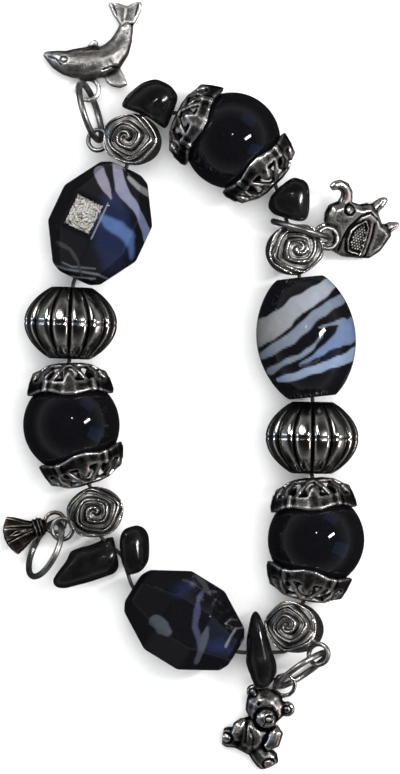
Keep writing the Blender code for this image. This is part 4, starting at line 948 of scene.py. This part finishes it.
def glass_material(name, tinted):
    """Polished black glass with a few fine specks and ripples, plain, or with swirls and a painted ridge
    highlight from the beads' stored colours.
    """
    made, nodes, link, shader = new_material(name)
    place = nodes.new("ShaderNodeTexCoord")
    smear = noise(nodes, link, place, scale=260, detail=3)
    ramped(nodes, link, smear.outputs["Fac"], ((0.3, 0.02), (0.75, 0.07)), shader.inputs["Roughness"])
    shader.inputs["Specular IOR Level"].default_value = GLASS_GLOSS
    body = shader.inputs["Base Color"]
    if tinted:
        # Stored colours: the glass swirls, and a painted highlight along swirl_1's top ridge
        tint_and_highlight = nodes.new("ShaderNodeAttribute")
        tint_and_highlight.attribute_name = "tint_and_highlight"
        shaded = mixed(nodes, link, "MULTIPLY", tint_and_highlight.outputs["Color"])
        cloud = noise(nodes, link, place, scale=700, detail=5, roughness=0.65)
        ramped(nodes, link, cloud.outputs["Fac"], ((0.3, 0.8), (0.7, 1.0)), shaded.inputs["B"])
        whole = mixed(nodes, link, "ADD", shaded.outputs["Result"])
        link(whole.outputs["Result"], body)
        body = whole.inputs["B"]
    speck = noise(nodes, link, place, scale=2600, detail=2, roughness=0.7)
    depth = ((0.3, (0.0025, 0.0025, 0.003)), (0.7, (0.0045, 0.0045, 0.006)))
    ramped(nodes, link, speck.outputs["Fac"], depth, body)
    ripple = noise(nodes, link, place, scale=1700, detail=3, roughness=0.6)
    bumped(nodes, link, shader, ripple, strength=1.0, distance=SWIRL_RIPPLE if tinted else PLAIN_RIPPLE)
    return made


def stone_material():
    """Tumble-polished black stone with faint grey clouding."""
    made, nodes, link, shader = new_material("stone")
    place = nodes.new("ShaderNodeTexCoord")
    cloud = noise(nodes, link, place, scale=500, detail=6, roughness=0.6)
    stops = ((0.35, (0.003, 0.003, 0.0032)), (0.62, (0.006, 0.006, 0.0065)), (0.8, (0.018, 0.018, 0.02)))
    ramped(nodes, link, cloud.outputs["Fac"], stops, shader.inputs["Base Color"])
    ramped(nodes, link, cloud.outputs["Fac"], ((0.3, 0.10), (0.75, 0.24)), shader.inputs["Roughness"])
    dents = noise(nodes, link, place, scale=900, detail=3)
    bumped(nodes, link, shader, dents, strength=0.25, distance=0.06 * MM)
    return made


def thread_material():
    """Dark elastic with a fine lengthwise grain."""
    made, nodes, link, shader = new_material("thread")
    place = nodes.new("ShaderNodeTexCoord")
    grain = noise(nodes, link, place, scale=3000, detail=4)
    stops = ((0.3, (0.006, 0.006, 0.006)), (0.7, (0.03, 0.03, 0.03)))
    ramped(nodes, link, grain.outputs["Fac"], stops, shader.inputs["Base Color"])
    shader.inputs["Roughness"].default_value = 0.5
    bumped(nodes, link, shader, grain, strength=0.3, distance=0.03 * MM)
    return made


def floor_material():
    """Matt white paper with a barely seen tooth."""
    made, nodes, link, shader = new_material("paper")
    place = nodes.new("ShaderNodeTexCoord")
    tooth = noise(nodes, link, place, scale=1500, detail=4)
    stops = ((0.3, (0.88, 0.88, 0.88)), (0.7, (0.91, 0.91, 0.905)))
    ramped(nodes, link, tooth.outputs["Fac"], stops, shader.inputs["Base Color"])
    shader.inputs["Roughness"].default_value = 0.9
    shader.inputs["Specular IOR Level"].default_value = 0.2
    bumped(nodes, link, shader, tooth, strength=0.1, distance=0.02 * MM)
    return made


# Stage

def add_light(name, way, distance, width, length, power, colour, spin, glossy, only):
    """A soft rectangular light that faces the bracelet, or only some of its pieces."""
    light = bpy.data.lights.new(name, "AREA")
    light.shape = "RECTANGLE"
    light.size = width
    light.size_y = length
    light.energy = power
    light.color = colour
    lamp = bpy.data.objects.new(name, light)
    way = Vector(way).normalized()
    lamp.location = way * distance
    spun = way.to_track_quat("Z", "Y").to_matrix() @ Matrix.Rotation(math.radians(spin), 3, "Z")
    lamp.rotation_euler = spun.to_euler()
    lamp.visible_glossy = glossy
    lamp.visible_camera = False
    if only:
        group = bpy.data.collections.new(f"lit_by_{name}")
        for piece in only:
            group.objects.link(piece)
        lamp.light_linking.receiver_collection = group
    bpy.context.collection.objects.link(lamp)


def add_floor():
    """A plain pale floor, left out of reflections."""
    corners = [(x * FLOOR_HALF, y * FLOOR_HALF, 0) for x, y in ((-1, -1), (1, -1), (1, 1), (-1, 1))]
    mesh = mesh_of("floor", corners, [(0, 1, 2, 3)])
    mesh.materials.append(floor_material())
    floor = bpy.data.objects.new("floor", mesh)
    bpy.context.collection.objects.link(floor)
    floor.visible_glossy = False


def add_world():
    """Soft surroundings, brightest at the horizon."""
    world = bpy.data.worlds.new("studio")
    world.use_nodes = True
    nodes = world.node_tree.nodes
    link = world.node_tree.links.new
    place = nodes.new("ShaderNodeTexCoord")
    parts = nodes.new("ShaderNodeSeparateXYZ")
    link(place.outputs["Generated"], parts.inputs[0])
    level = nodes.new("ShaderNodeMapRange")
    level.inputs["From Min"].default_value = -1.0
    link(parts.outputs["Z"], level.inputs["Value"])
    ramped(nodes, link, level.outputs["Result"], SKY, nodes["Background"].inputs["Color"])
    nodes["Background"].inputs["Strength"].default_value = SKY_STRENGTH
    bpy.context.scene.world = world


def add_camera():
    """The photo's camera."""
    data = bpy.data.cameras.new("camera")
    data.type = "PERSP"
    data.sensor_fit = "VERTICAL"
    data.sensor_height = SENSOR
    data.lens = SENSOR * CAMERA_DISTANCE / VIEW_HEIGHT
    data.clip_start, data.clip_end = CLIP_RANGE
    camera = bpy.data.objects.new("camera", data)
    camera.location = (*VIEW_CENTRE, VIEW_LEVEL + CAMERA_DISTANCE)
    bpy.context.collection.objects.link(camera)
    bpy.context.scene.camera = camera
    bpy.context.scene.view_settings.view_transform = "Standard"


# Dressing

# What each kind of piece is made by, its finish and its material slot
KINDS = {
    "bead": (round_bead, "glass", "black_glass"),
    "swirl": (swirl_bead, "glass_swirled", "black_glass"),
    "melon": (melon_bead, "silver_bright", "antique_silver"),
    "rose": (rose_bead, "silver", "antique_silver"),
    "chip": (stone_chip, "stone", "black_stone"),
    "ring": (jump_ring, "silver", "antique_silver"),
    "elastic": (thread_mesh, "thread", "elastic"),
}


def dress():
    """Replaces every solid with its finished piece, and gives the pieces with their slots."""
    finishes = {name: silver_material(name, *silver) for name, silver in SILVERS.items()}
    finishes["glass"] = glass_material("glass", False)
    finishes["glass_swirled"] = glass_material("glass_swirled", True)
    finishes["stone"] = stone_material()
    finishes["thread"] = thread_material()
    rest = [node for node in NODES if node.startswith(("chip", "ring"))]
    pieces = []
    for node in [*FRAMES, *CASTS, *rest, "elastic"]:
        if node in CASTS:
            maker, finish, slot = cast, CASTS[node][3], "antique_silver"
        else:
            maker, finish, slot = KINDS[node.split("_")[0]]
        pieces.append((add_piece(node, maker(node), finishes[finish]), slot))
    return pieces


pieces = dress()
add_floor()
add_world()
for *settings, lit in LIGHTS:
    add_light(*settings, [piece for piece, slot in pieces if lit in (slot, piece.name)])
add_camera()
